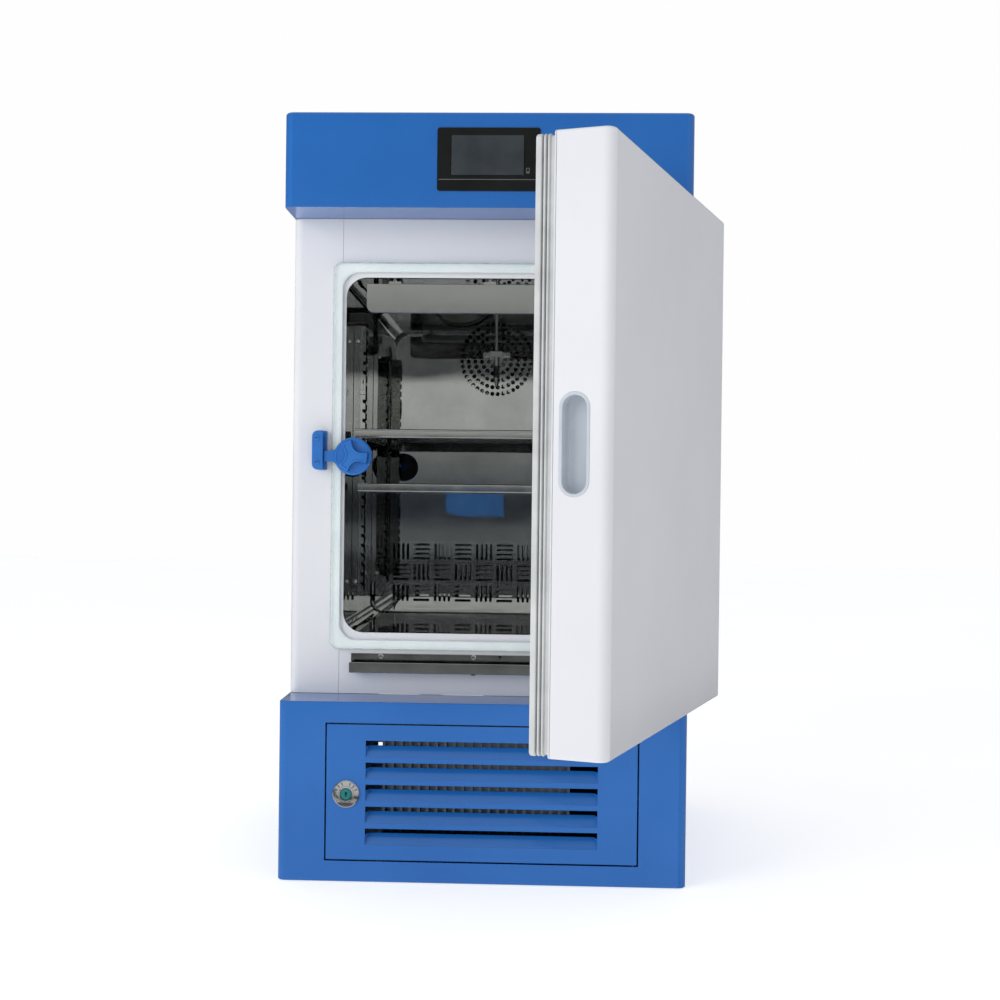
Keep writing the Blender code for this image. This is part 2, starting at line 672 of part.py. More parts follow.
def glass_door():
    """Glass pane with a silicone seal behind its edge, and two hinge clamps."""
    ax, ay = GLASS_AXIS
    pivot = (ax, ay, 0)
    finish("glass_pane", "glass", prism(rounded_rect(-GLASS_X, GLASS_X, *GLASS_Z, 12), "Y", *GLASS_Y),
           pivot=pivot)
    outer = rounded_rect(-GLASS_X, GLASS_X, *GLASS_Z, 12)
    inner = rounded_rect(-GLASS_X + SEAL_W, GLASS_X - SEAL_W, GLASS_Z[0] + SEAL_W,
                         GLASS_Z[1] - SEAL_W, 22)
    finish("glass_seal", "silicone", prism(outer, "Y", GLASS_Y[1] + GAP, SETBACK - 0.4, [inner]),
           pivot=pivot)
    for name, z in (("upper_glass_clamp", 800.0), ("lower_glass_clamp", 350.0)):
        finish(
            name, "plastic_white", box(186, 218.5, 62.5, GLASS_Y[0] - GAP, z - 7, z + 7), pivot=pivot,
            add=[box(218, ax, 63, 68, z - 7, z + 7), rod("Z", ax, ay, 5, z - 7, z + 7, 20)],
            cut=[rod("Z", ax, ay, 2.9, z - 20, z + 20, 16)],
        )


def latch_knob():
    """Blue turn-latch: a disc with a tongue to the keeper and a three-lobed grip."""
    tip = KEEPER_X[1] - 3 + 0.5
    neck = 7.6
    blend = 9.0
    rise = neck + blend
    reach = math.sqrt((LATCH_R + blend) ** 2 - rise ** 2)
    meet = math.degrees(math.atan2(rise, reach))
    lower = arc(-reach, -rise, blend, 90, meet, 4)
    body = arc(0, 0, LATCH_R, 180 + meet, 540 - meet, 30)
    upper = [(u, -v) for u, v in reversed(lower)]
    outline = [(tip - LATCH_X, neck), (tip - LATCH_X, -neck), *lower, *body[1:-1], *upper]
    outline = [(LATCH_X + u, LATCH_Z + v) for u, v in outline]
    grip = []
    for start in (-6, 114, 234):
        for corner, radius in ((-24, 18.5), (-14, 20.5), (14, 20.5), (24, 18.5), (60, 9.5)):
            angle = math.radians(start + corner)
            grip.append((LATCH_X + radius * math.cos(angle), LATCH_Z + radius * math.sin(angle)))
    finish(
        "latch_knob", "latch_blue", prism(outline, "Y", 62.3, 66.3), pivot=(LATCH_X, 66, LATCH_Z),
        add=[rod("Y", LATCH_X, LATCH_Z, LATCH_R, 58.5, 65, 40), prism(grip, "Y", 48.5, 59),
             rod("Y", LATCH_X, LATCH_Z, 8, 66, GLASS_Y[0] - GAP, 20)],
    )


# ---------------------------------------------------------------- service door

def louvre_blade(index):
    """One blade: from the foot of its slot it leans back behind the sheet."""
    foot = LOUVRE_TOP - index * LOUVRE_PITCH - LOUVRE_H
    head = foot + LOUVRE_H - 5.0
    section = [(0.0, foot - 0.8), (1.4, foot - 0.8), (LOUVRE_IN + 1.2, head), (LOUVRE_IN, head + 0.6)]
    section.append((0.0, foot + 0.4))
    return prism(section, "X", -LOUVRE_X + 1, LOUVRE_X - 1)


def access_door():
    """Louvred service door with folded edges, and its lock."""
    z0, z1 = ACCESS_Z
    slots = []
    for i in range(LOUVRE_COUNT):
        high = LOUVRE_TOP - i * LOUVRE_PITCH
        slots.append(rounded_rect(-LOUVRE_X, LOUVRE_X, high - LOUVRE_H, high, 0))
    slots.append(circle(LOCK_X, LOCK_Z, 10.2, 24))
    fold = prism(rounded_rect(-ACCESS_X, ACCESS_X, z0, z1, 0), "Y", SHEET - 0.5, 14,
                 [rounded_rect(-ACCESS_X + SHEET, ACCESS_X - SHEET, z0 + SHEET, z1 - SHEET, 0)])
    pin_holes = rod("Z", *ACCESS_AXIS, 2.5, z0 - 5, z1 + 5, 16)
    finish(
        "access_door", "blue", prism(rounded_rect(-ACCESS_X, ACCESS_X, z0, z1, 0), "Y", 0, SHEET, slots),
        pivot=(*ACCESS_AXIS, 0), cut=[pin_holes],
        add=[fold, merged(*[louvre_blade(i) for i in range(LOUVRE_COUNT)])],
    )
    for name, plate, pin in (("upper_access_hinge", (214, 220), (208, 215)),
                             ("lower_access_hinge", (20, 27), (26, 33))):
        finish(name, "zinc", box(198, 224, SHEET + GAP, 9, *plate),
               add=[rod("Z", *ACCESS_AXIS, 2.2, *pin, 16)])
    barrel = [(9.6, 19.0), (9.6, -GAP - 0.01)]
    rosette = [(18.6, -GAP), (18.6, -1.2), (16.5, -2.6), (9.2, -1.8)]
    finish(
        "lock_body", "chrome", turned(barrel + rosette, "Y", LOCK_X, LOCK_Z, 36),
        pivot=(*ACCESS_AXIS, 0), cut=[rod("Y", LOCK_X, LOCK_Z, 8.0, -10, 30, 28)],
    )
    finish(
        "lock_plug", "teal", rod("Y", LOCK_X, LOCK_Z, 7.7, -2.2, 19.6, 28), pivot=(LOCK_X, 0, LOCK_Z),
        cut=[box(LOCK_X - 0.7, LOCK_X + 0.7, -5, 4, LOCK_Z - 3.6, LOCK_Z + 3.6)],
    )
    cam = rounded_rect(LOCK_X - 7, LOCK_X + 7, LOCK_Z - 9, LOCK_Z + 37, 6)
    finish("lock_cam", "zinc", prism(cam, "Y", 19.9, 21.9), pivot=(LOCK_X, 0, LOCK_Z))


# ---------------------------------------------------------------- cooling unit

def cooling_unit():
    """Condenser behind the louvres, its fan, and the compressor on the base pan."""
    finish("condenser", "aluminium", prism(comb(-140, 120, 60, 100, 22, 14, 4), "Z", 3.3, 190))
    x, z = -10.0, 108.0
    frame = rounded_rect(x - 85, x + 85, 3.3, 193, (0, 0, 6, 6))
    arms = [box(x - 80, x + 80, 158, 162, z - 4, z + 4), box(x - 4, x + 4, 158, 162, z - 80, z + 80)]
    finish(
        "condenser_fan_frame", "black", prism(frame, "Y", 125, 160, [circle(x, z, 76, 32)]),
        add=[*arms, rod("Y", x, z, 24, 158, 190, 24), rod("Y", x, z, 3, 135, 160, 16)],
    )
    fan_rotor("condenser_fan", "black", (x, z), 20, 70, (130, 154), 5, 35, bore=3.3)
    shell = [(70, 3.3), (70, 8), (62, 9), (64, 20), (64, 120), (58, 142), (40, 156), (16, 162)]
    finish("compressor", "black", turned(shell, "Z", 120, 360, 28))


def build():
    """Clear the file and make every piece."""
    for obj in list(bpy.data.objects):
        bpy.data.objects.remove(obj)
    for make in (
        header_cover, plinth_cover, base_pan, side_panels, front_fascia, rear_cover, power_inlet,
        insulation, control_unit, touch_panel, chamber_liner, air_panel, lamp, rails, runners, shelves,
        probe, air_circuit, drip_tray, latch_keeper, main_hinge_brackets, glass_hinge_brackets,
        outer_door, glass_door, latch_knob, access_door, cooling_unit,
    ):
        make()


build()
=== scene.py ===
# %% [markdown]
# # A laboratory incubator
# An incubator keeps cultures at one steady temperature. This one has a blue header with the
# controller in it, a white insulated body around a mirror-polished chamber, a blue plinth with
# the cooling unit, a glass inner door and a thick outer door that stands open.
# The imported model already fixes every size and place. This lesson makes the surfaces.
# Lengths below are in millimetres on the model's own axes, with x to the right, y to the back
# and z up. They turn into metres only when a mesh is made.

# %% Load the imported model
import json
import math

import bmesh
import bpy
import numpy as np
from mathutils import Matrix

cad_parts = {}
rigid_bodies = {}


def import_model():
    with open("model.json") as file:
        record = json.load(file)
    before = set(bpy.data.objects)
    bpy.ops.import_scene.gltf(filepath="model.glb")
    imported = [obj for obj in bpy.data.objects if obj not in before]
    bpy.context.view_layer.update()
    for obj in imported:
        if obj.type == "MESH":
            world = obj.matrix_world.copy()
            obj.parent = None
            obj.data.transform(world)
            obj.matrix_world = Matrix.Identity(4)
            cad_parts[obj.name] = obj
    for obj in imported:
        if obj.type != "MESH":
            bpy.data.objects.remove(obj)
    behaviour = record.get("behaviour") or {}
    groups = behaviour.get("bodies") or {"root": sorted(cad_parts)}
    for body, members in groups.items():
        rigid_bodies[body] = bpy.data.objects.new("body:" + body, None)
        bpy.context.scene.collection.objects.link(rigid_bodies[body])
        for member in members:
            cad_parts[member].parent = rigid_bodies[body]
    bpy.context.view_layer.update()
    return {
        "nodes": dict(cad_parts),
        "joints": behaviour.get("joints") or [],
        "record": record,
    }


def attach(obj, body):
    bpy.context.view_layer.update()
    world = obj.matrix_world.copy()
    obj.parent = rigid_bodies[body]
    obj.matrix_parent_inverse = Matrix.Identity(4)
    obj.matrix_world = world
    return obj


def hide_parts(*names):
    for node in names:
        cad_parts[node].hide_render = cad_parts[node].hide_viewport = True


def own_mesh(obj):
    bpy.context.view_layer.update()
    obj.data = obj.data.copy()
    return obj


for spare in list(bpy.data.objects):
    bpy.data.objects.remove(spare)
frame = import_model()

# %% [markdown]
# ## Reading sizes
# A surface that fits must start from its neighbours. Every main size is read from the packed
# pieces, so that nothing has to be fitted by hand. The outer door is packed standing open, and
# its sizes only make sense when it is shut, so its points are first turned back about its pin.

# %% Measure pieces
MM = 0.001
JOINTS = {joint["name"]: joint for joint in frame["joints"]}
DOOR_PIN = np.array(JOINTS["outer_door_hinge"]["pos_m"]) / MM
DOOR_OPEN = math.radians(-JOINTS["outer_door_hinge"]["range_deg"][0])


def swing(points, angle):
    """Turn points about the door's upright pin: x' = x cos a - y sin a, y' = x sin a + y cos a."""
    moved = np.array(points, float) - DOOR_PIN
    x = moved[..., 0] * math.cos(angle) - moved[..., 1] * math.sin(angle)
    y = moved[..., 0] * math.sin(angle) + moved[..., 1] * math.cos(angle)
    return np.stack([x, y, moved[..., 2]], -1) + DOOR_PIN


def points_of(mesh):
    """A mesh's points as a table of three columns."""
    flat = np.empty(len(mesh.vertices) * 3, np.float32)
    mesh.vertices.foreach_get("co", flat)
    return flat.reshape(-1, 3)


def corners(node, shut=False):
    """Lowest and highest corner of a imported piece; shut reads the outer door's pieces as closed."""
    points = points_of(frame["nodes"][node].data) / MM
    if shut:
        points = swing(points, -DOOR_OPEN)
    return points.min(0), points.max(0)


FRONT = corners("plinth_cover")[0][1]
print("front plane at", round(FRONT, 1), "mm; outer door open", round(math.degrees(DOOR_OPEN)), "degrees")

# %% [markdown]
# ## Outlines
# Sheet metal and moulded parts are mostly flat outlines with rounded corners. An outline here is
# a table of points, worked out all at once. Every rounded rectangle has the same number of
# points whatever its radius, so two of them can be joined by a band of faces.

# %% Outline functions
ROUND = 7               # faces in each quarter circle


def arc(centre, radius, start, end, steps=ROUND):
    """Points on a circle between two angles in degrees: centre + radius (cos t, sin t)."""
    t = np.radians(np.linspace(start, end, steps + 1))
    return np.column_stack([centre[0] + radius * np.cos(t), centre[1] + radius * np.sin(t)])


def circle(centre, radius, sides=32):
    """A closed ring of points."""
    return arc(centre, radius, 0, 360, sides)[:-1]


def rounded(u0, u1, v0, v1, radius, steps=ROUND):
    """A rectangle with four quarter circles, anticlockwise from its low corner."""
    radii = np.broadcast_to(radius, 4)
    signs = ((1, 1), (-1, 1), (-1, -1), (1, -1))
    edges = ((u0, v0), (u1, v0), (u1, v1), (u0, v1))
    turns = (180, 270, 0, 90)
    return np.vstack([
        arc((u + su * r, v + sv * r), r, turn, turn + 90, steps)
        for (u, v), (su, sv), r, turn in zip(edges, signs, radii, turns)
    ])


def face_of(low, high, inset, radius, steps=ROUND):
    """The outline, seen along y, of a box between two corners, drawn smaller by inset."""
    return rounded(low[0] + inset, high[0] - inset, low[2] + inset, high[2] - inset, radius, steps)


def lifted(outline, axis, level):
    """Put a flat outline in space: axis x takes (y, z), y takes (x, z) and z takes (x, y)."""
    outline = np.asarray(outline, float)
    fill = np.full(len(outline), float(level))
    order = {"x": (fill, *outline.T), "y": (outline[:, 0], fill, outline[:, 1]), "z": (*outline.T, fill)}
    return np.column_stack(order[axis])


def spin(degrees):
    """The matrix that turns rows of flat points: p @ spin = (x cos a - y sin a, x sin a + y cos a)."""
    angle = math.radians(degrees)
    return np.array([[math.cos(angle), math.sin(angle)], [-math.sin(angle), math.cos(angle)]])


print("a rounded rectangle has", len(rounded(0, 1, 0, 1, 0.2)), "points")

# %% [markdown]
# ## Surfaces
# Almost every piece is a stack of rings: a grid of points whose rows run round the piece and
# whose columns run along it. Joining neighbours gives a band of quads, and each end is closed
# with one flat face. The same grid makes a turned knob, a folded cover and a bent lead.

# %% Surface functions


def skin(rings, first=True, last=True, around=True, along=False):
    """Faces between the rows of a grid (rows, points, 3), closed around or along if asked."""
    rings = np.asarray(rings, float)
    rows, count = rings.shape[:2]
    index = np.arange(rows * count).reshape(rows, count)
    if along:
        index = np.vstack([index, index[:1]])
    if around:
        index = np.hstack([index, index[:, :1]])
    quads = np.stack([index[:-1, :-1], index[:-1, 1:], index[1:, 1:], index[1:, :-1]], -1)
    faces = quads.reshape(-1, 4).tolist()
    if first and not along:
        faces.append(list(range(count)))
    if last and not along:
        faces.append(list(range((rows - 1) * count, rows * count)))
    return rings.reshape(-1, 3), faces


def joined(*shapes):
    """Several surfaces as one list of points and faces."""
    points, faces, start = [], [], 0
    for spots, cells in shapes:
        points.append(spots)
        faces += [[start + corner for corner in cell] for cell in cells]
        start += len(spots)
    return np.vstack(points), faces


def turned(profile, axis, centre, sides=32):
    """A profile of (radius, level) pairs turned about an axis."""
    return skin([lifted(circle(centre, r, sides), axis, level) for r, level in profile])


def smooth_path(spots, steps=6):
    """A curve through given points: each stretch is the cubic that keeps its neighbours' slope."""
    spots = np.asarray(spots, float)
    ends = np.vstack([2 * spots[0] - spots[1], spots, 2 * spots[-1] - spots[-2]])
    a, b, c, d = ends[:-3, None], ends[1:-2, None], ends[2:-1, None], ends[3:, None]
    t = np.linspace(0, 1, steps, endpoint=False)[None, :, None]
    curve = b + 0.5 * t * (c - a + t * (2 * a - 5 * b + 4 * c - d + t * (3 * b - a - 3 * c + d)))
    return np.vstack([curve.reshape(-1, 3), spots[-1]])


def tube(path, radius, sides=12):
    """Circles carried along a path, each square to it, turned as little as possible."""
    path = np.asarray(path, float)
    along = np.gradient(path, axis=0)
    along /= np.linalg.norm(along, axis=1, keepdims=True)
    side = np.cross(along, (0.31, 0.87, 0.11))
    side /= np.linalg.norm(side, axis=1, keepdims=True)
    up = np.cross(along, side)
    t = np.linspace(0, 2 * math.pi, sides, endpoint=False)[None, :, None]
    return skin(path[:, None] + radius * (np.cos(t) * side[:, None] + np.sin(t) * up[:, None]))


def plate(outline, axis, low, high, holes=(), edge=0.3):
    """A flat sheet with holes: a flat curve is filled, thickened, and has every rim rounded by edge."""
    curve = bpy.data.curves.new("plate", "CURVE")
    curve.dimensions = "2D"
    curve.fill_mode = "BOTH"
    curve.extrude = (high - low) / 2 - edge
    curve.bevel_depth = edge
    curve.bevel_resolution = 0
    curve.offset = -edge
    for loop in (outline, *holes):
        spline = curve.splines.new("POLY")
        spline.points.add(len(loop) - 1)
        flat = np.column_stack([loop, np.zeros(len(loop)), np.ones(len(loop))])
        spline.points.foreach_set("co", flat.ravel())
        spline.use_cyclic_u = True
    holder = bpy.data.objects.new("plate", curve)
    mesh = bpy.data.meshes.new_from_object(holder)
    faces = [list(face.vertices) for face in mesh.polygons]
    columns = {"x": (2, 0, 1), "y": (0, 2, 1), "z": (0, 1, 2)}[axis]
    spots = points_of(mesh)[:, columns].astype(float)
    spots[:, "xyz".index(axis)] += (low + high) / 2
    for block, item in ((bpy.data.objects, holder), (bpy.data.curves, curve), (bpy.data.meshes, mesh)):
        block.remove(item)
    return spots, faces


print("surface functions ready")

# %% [markdown]
# ## Finishes
# Each finish is named for the real material and how its surface was made. One function adds a
# shader node with its settings, values and links, and every texture reads the piece's own
# Object coordinates, so that a pattern keeps its real size in metres.

# %% Material helpers


def linear(text):
    """An sRGB hex colour as the linear colour that a shader wants."""
    srgb = np.array([int(text[i:i + 2], 16) for i in (1, 3, 5)]) / 255
    return (*np.where(srgb <= 0.04045, srgb / 12.92, ((srgb + 0.055) / 1.055) ** 2.4), 1.0)


def add(tree, kind, links=None, values=None, **settings):
    """Add one node: settings are its own, values fill sockets, links are socket: (node, output)."""
    node = tree.nodes.new(kind)
    for key, value in settings.items():
        setattr(node, key, value)
    for socket, value in (values or {}).items():
        node.inputs[socket].default_value = value
    for socket, (source, output) in (links or {}).items():
        tree.links.new(source.outputs[output], node.inputs[socket])
    return node


def principled(name, **sockets):
    """A new material and its Principled shader, with constant sockets set on the shader itself."""
    material = bpy.data.materials.new(name)
    material.use_nodes = True
    shader = material.node_tree.nodes["Principled BSDF"]
    for socket, value in sockets.items():
        shader.inputs[socket.replace("_", " ")].default_value = value
    return material, material.node_tree, shader


def mottled(tree, shader, size, dark, light, smooth, rough, stretch=(1, 1, 1), detail=3.0):
    """Colour and roughness that drift together over patches of a real size in millimetres."""
    place = add(tree, "ShaderNodeTexCoord")
    scaled = add(tree, "ShaderNodeMapping", {"Vector": (place, "Object")}, {"Scale": stretch})
    cloud = add(tree, "ShaderNodeTexNoise", {"Vector": (scaled, "Vector")},
                {"Scale": 1 / (size * MM), "Detail": detail, "Roughness": 0.55})
    ramp = add(tree, "ShaderNodeValToRGB", {"Fac": (cloud, "Fac")})
    ramp.color_ramp.elements[0].position = 0.3
    ramp.color_ramp.elements[0].color = linear(dark)
    ramp.color_ramp.elements[1].position = 0.7
    ramp.color_ramp.elements[1].color = linear(light)
    span = add(tree, "ShaderNodeMapRange", {"Value": (cloud, "Fac")},
               {"From Min": 0.3, "From Max": 0.7, "To Min": smooth, "To Max": rough})
    tree.links.new(ramp.outputs["Color"], shader.inputs["Base Color"])
    tree.links.new(span.outputs["Result"], shader.inputs["Roughness"])
    return scaled


def bumped(tree, shader, place, size, height, detail=1.0, strength=1.0):
    """A bump whose grains are size across and height deep, both in millimetres."""
    grain = add(tree, "ShaderNodeTexNoise", {"Vector": (place, "Vector")},
                {"Scale": 1 / (size * MM), "Detail": detail})
    bump = add(tree, "ShaderNodeBump", {"Height": (grain, "Fac")},
               {"Strength": strength, "Distance": height * MM})
    tree.links.new(bump.outputs["Normal"], shader.inputs["Normal"])


print("one linear blue:", np.round(linear("#2c69bc")[:3], 3))

# %% [markdown]
# ### Powder-coated steel
# The sheet-metal covers are sprayed with dry polymer powder and baked. The coat flows out with a
# faint orange peel a few millimetres across, drawn here a little coarser than life so that it
# shows. It is satin from the front and glossy at a low angle.

# %% Powder coats


def powder_coat(name, dark, light, gloss):
    """A baked polymer coat: slight drift in colour and gloss, and an orange peel."""
    material, tree, shader = principled(name, IOR=1.5, Coat_Weight=0.45, Coat_Roughness=0.06)
    place = mottled(tree, shader, 240, dark, light, gloss, gloss + 0.06)
    bumped(tree, shader, place, 4.5, 0.012)
    return material


BLUE_COAT = powder_coat("powder coated steel blue", "#1c62ae", "#216bba", 0.22)
WHITE_COAT = powder_coat("powder coated steel white", "#dfe0e3", "#e4e5e8", 0.16)
print("powder coats ready")

# %% [markdown]
# ### Stainless steel
# The chamber is pressed and welded from mirror-polished sheet. It shows the room in long soft
# distortions, because thin sheet is never quite flat: a bump some 80 mm across does that. The
# shelves, tray and shade are the same steel left as it was rolled, a little less sharp.

# %% Steels


def polished_steel(name, dark, light, smooth, rough, wave, height, stretch=(1, 1, 1)):
    """Bare metal that keeps the default IOR: smudges in roughness over a wavy sheet."""
    material, tree, shader = principled(name, Metallic=1.0)
    place = mottled(tree, shader, 60, dark, light, smooth, rough, stretch, 5.0)
    bumped(tree, shader, place, wave, height)
    return material


MIRROR = polished_steel("mirror polished stainless steel", "#b4b5b2", "#c4c5c2", 0.006, 0.03, 85, 0.12)
BRIGHT_STEEL = polished_steel("bright rolled stainless steel", "#b9b9b5", "#cccbc7", 0.07, 0.14, 40, 0.06)
SATIN_STEEL = polished_steel("satin rolled stainless steel", "#c8c7c2", "#dad9d4", 0.3, 0.42, 30, 0.06)
ZINC = polished_steel("zinc plated steel", "#94979b", "#b3b4ae", 0.32, 0.5, 6, 0.03)
CHROME = polished_steel("nickel chrome plate", "#e4e2de", "#f0eeea", 0.12, 0.22, 12, 0.03)
FIN_STOCK = polished_steel("plain aluminium fin stock", "#a6a9ab", "#c0c3c4", 0.3, 0.45, 20, 0.1)
print("steels ready")

# %% [markdown]
# ### Plastics, rubber and glass
# Moulded parts carry the faint texture of their tool. The silicone seal is milky with a green
# cast, because the glass before it is slightly green. The clear glass is mostly see-through, so
# the pane keeps a low alpha, and its ground edge is a separate, brighter finish.

# %% Plastics and glass


def moulded(name, dark, light, gloss, grain=1.8, height=0.02, **extra):
    """An injection-moulded or extruded polymer with a fine tool texture."""
    material, tree, shader = principled(name, IOR=1.5, **extra)
    place = mottled(tree, shader, 45, dark, light, gloss, gloss + 0.08)
    bumped(tree, shader, place, grain, height)
    return material


WHITE_PLASTIC = moulded("vacuum formed white ABS", "#dadcde", "#e2e3e5", 0.3, 3.0)
# Part real colour, part painted shade: the grip is a bluish grey darker than the white door so its hollow
# reads shaded.
SHADED_GRIP_PLASTIC = moulded("moulded grey ABS with painted hollow shade", "#bcc3ca", "#c6cdd4", 0.32, 3.0)
LATCH_PLASTIC = moulded("moulded blue nylon", "#2168b5", "#2b76c6", 0.3)
BEZEL_PLASTIC = moulded("moulded black ABS", "#0b0c0b", "#121311", 0.3, 1.2)
TEAL_PLASTIC = moulded("moulded teal acetal", "#176a6c", "#1f7f7e", 0.3)
OPAL = moulded("opal polycarbonate", "#e6e9ea", "#f2f4f4", 0.35, Transmission_Weight=0.2)
GASKET = moulded("extruded grey PVC", "#bfc1c0", "#d3d5d4", 0.42, 5.0, 0.05)
SILICONE = moulded("cast white silicone", "#e2ecec", "#ecf3f2", 0.38, 6.0, 0.04,
                   Subsurface_Weight=0.15, Subsurface_Scale=0.004)
FOAM = moulded("cast polyurethane foam", "#d8cda4", "#eadfba", 0.85, 2.0, 0.3)
CABLE_PLASTIC = moulded("extruded black PVC", "#141413", "#20201e", 0.35, 2.0)
ENAMEL = moulded("black stove enamel", "#0f1011", "#191a1b", 0.25, 3.0)
DISPLAY = moulded("unlit display under acrylic", "#34393c", "#3f4447", 0.1, 30.0, 0.01, Coat_Weight=0.6)
DARK = moulded("unlit gap", "#070707", "#0c0c0c", 0.6)
PRINT = moulded("grey screen print", "#6e7071", "#7c7e7f", 0.5)

GLASS = principled("clear tempered float glass", Base_Color=linear("#eef7f5"), Roughness=0.0,
                   IOR=1.52, Transmission_Weight=1.0, Alpha=0.02)[0]
GLASS_EDGE, edge_tree, edge_shader = principled(
    "ground glass edge", IOR=1.52, Transmission_Weight=0.4, Alpha=0.6)
mottled(edge_tree, edge_shader, 20, "#b4c6c3", "#cfdddb", 0.2, 0.35)
print(len(bpy.data.materials), "materials")

# %% [markdown]
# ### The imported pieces
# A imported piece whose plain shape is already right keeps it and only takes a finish. The model
# says which finish each piece is sold in, so one table from that word to a material dresses
# all of them.

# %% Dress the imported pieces
FINISH_OF = {
    "blue_paint": BLUE_COAT, "white_paint": WHITE_COAT, "white_plastic": WHITE_PLASTIC,
    "stainless": MIRROR, "zinc_steel": ZINC, "foam": FOAM, "gasket_rubber": GASKET,
    "silicone": SILICONE, "clear_glass": GLASS, "blue_plastic": LATCH_PLASTIC,
    "black_plastic": BEZEL_PLASTIC, "display": DISPLAY, "chrome": CHROME,
    "teal_plastic": TEAL_PLASTIC, "aluminium": FIN_STOCK, "lamp_cover": OPAL,
}
SLOT_OF = {part["node"]: part["material_slot"] for part in frame["record"]["subparts"]}
BODIES = frame["record"]["behaviour"]["bodies"]
BODY_OF = {node: body for body, nodes in BODIES.items() for node in nodes}
for node, item in frame["nodes"].items():
    item.data.materials.clear()
    item.data.materials.append(FINISH_OF[SLOT_OF[node]])
for node, finish in (("compressor", ENAMEL), ("sensor_cable", CABLE_PLASTIC)):
    frame["nodes"][node].data.materials[0] = finish
print("dressed", len(frame["nodes"]), "packed pieces")

# %% [markdown]
# ## Making a piece
# A new piece has its place in its mesh. Coincident points are merged and the faces turned
# outwards before a sheet gets its thickness. Weighted normals keep large flat faces flat in a
# reflection where they meet a rounded edge. The piece then rides on the body of the packed
# piece that it stands for.

# %% Piece functions
SHARP = math.radians(32)        # edges that turn more than this stay crisp
EASE_FROM = math.radians(35)    # edges that turn more than this get a bevel
FLAT = math.radians(1)          # faces that turn less than this are one face
MERGE = 0.01 * MM               # points closer than this are one point


def smoothed(mesh):
    """Shade smoothly between sharp edges."""
    mesh.shade_smooth()
    mesh.set_sharp_from_angle(angle=SHARP)


def settled(mesh):
    """Merge coincident points, face outwards, and shade smoothly between sharp edges."""
    bm = bmesh.new()
    bm.from_mesh(mesh)
    bmesh.ops.remove_doubles(bm, verts=bm.verts[:], dist=MERGE)
    bmesh.ops.recalc_face_normals(bm, faces=bm.faces[:])
    bm.to_mesh(mesh)
    bm.free()
    smoothed(mesh)


def weighted(item):
    """Let large faces decide the shading at their rims."""
    modifier = item.modifiers.new("weighted normals", "WEIGHTED_NORMAL")
    modifier.keep_sharp = True


def assigned(item, node, added=False):
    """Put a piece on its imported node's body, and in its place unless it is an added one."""
    weighted(item)
    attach(item, BODY_OF[node])
    if not added:
        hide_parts(node)
    return item


def piece(name, shape, finish, node, added=False, wall=0.0, door=False):
    """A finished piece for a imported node; wall is a sheet's thickness, inwards."""
    spots, faces = shape
    if door:
        spots = swing(spots, DOOR_OPEN)
    mesh = bpy.data.meshes.new(name)
    mesh.from_pydata((spots * MM).tolist(), [], faces)
    settled(mesh)
    mesh.materials.append(finish)
    item = bpy.data.objects.new(name, mesh)
    bpy.context.scene.collection.objects.link(item)
    if wall:
        sheet = item.modifiers.new("sheet", "SOLIDIFY")
        sheet.thickness = wall * MM
        sheet.offset = -1.0
    return assigned(item, node, added)


def eased(node, width, finish=None, segments=2):
    """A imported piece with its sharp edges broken: a merged copy with a small rounded bevel."""
    item = frame["nodes"][node].copy()
    item.data = frame["nodes"][node].data.copy()
    for key in [key for key in item.keys() if key.startswith("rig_")]:
        del item[key]
    item.name = node + "_eased"
    item.data.name = item.name
    item.parent = None
    bpy.context.scene.collection.objects.link(item)
    bm = bmesh.new()
    bm.from_mesh(item.data)
    bmesh.ops.remove_doubles(bm, verts=bm.verts[:], dist=MERGE)
    bmesh.ops.dissolve_limit(bm, angle_limit=FLAT, verts=bm.verts[:], edges=bm.edges[:])
    bm.to_mesh(item.data)
    bm.free()
    smoothed(item.data)
    item.data.materials[0] = finish or FINISH_OF[SLOT_OF[node]]
    bevel = item.modifiers.new("broken edges", "BEVEL")
    bevel.width = width * MM
    bevel.segments = segments
    bevel.limit_method = "ANGLE"
    bevel.angle_limit = EASE_FROM
    return assigned(item, node)


print("piece functions ready")

# %% [markdown]
# ## Header and plinth
# Each cover is one sheet folded round the front corners, with a narrow ledge turned back to the
# white body. A block with bevels would be solid; here one open plan is carried up through
# rounded folds, the window or hatch is left out of the grid, and the sheet then gets its
# thickness.

# %% Folded covers
SHEET = 1.5
CORNER = 12.0


def cover_plan(half, back, ledge, windows, inset):
    """Open plan from back left round the front to back right, drawn inset: sides, arcs, front."""
    radius = CORNER - inset
    left = arc((-half + CORNER, FRONT + CORNER), radius, 180, 270)
    right = arc((half - CORNER, FRONT + CORNER), radius, 270, 360)
    front = [(x, FRONT + inset) for x in windows]
    side = half - inset
    return np.vstack([[(-side, back), (-side, ledge)], left, front, right, [(side, ledge), (side, back)]])


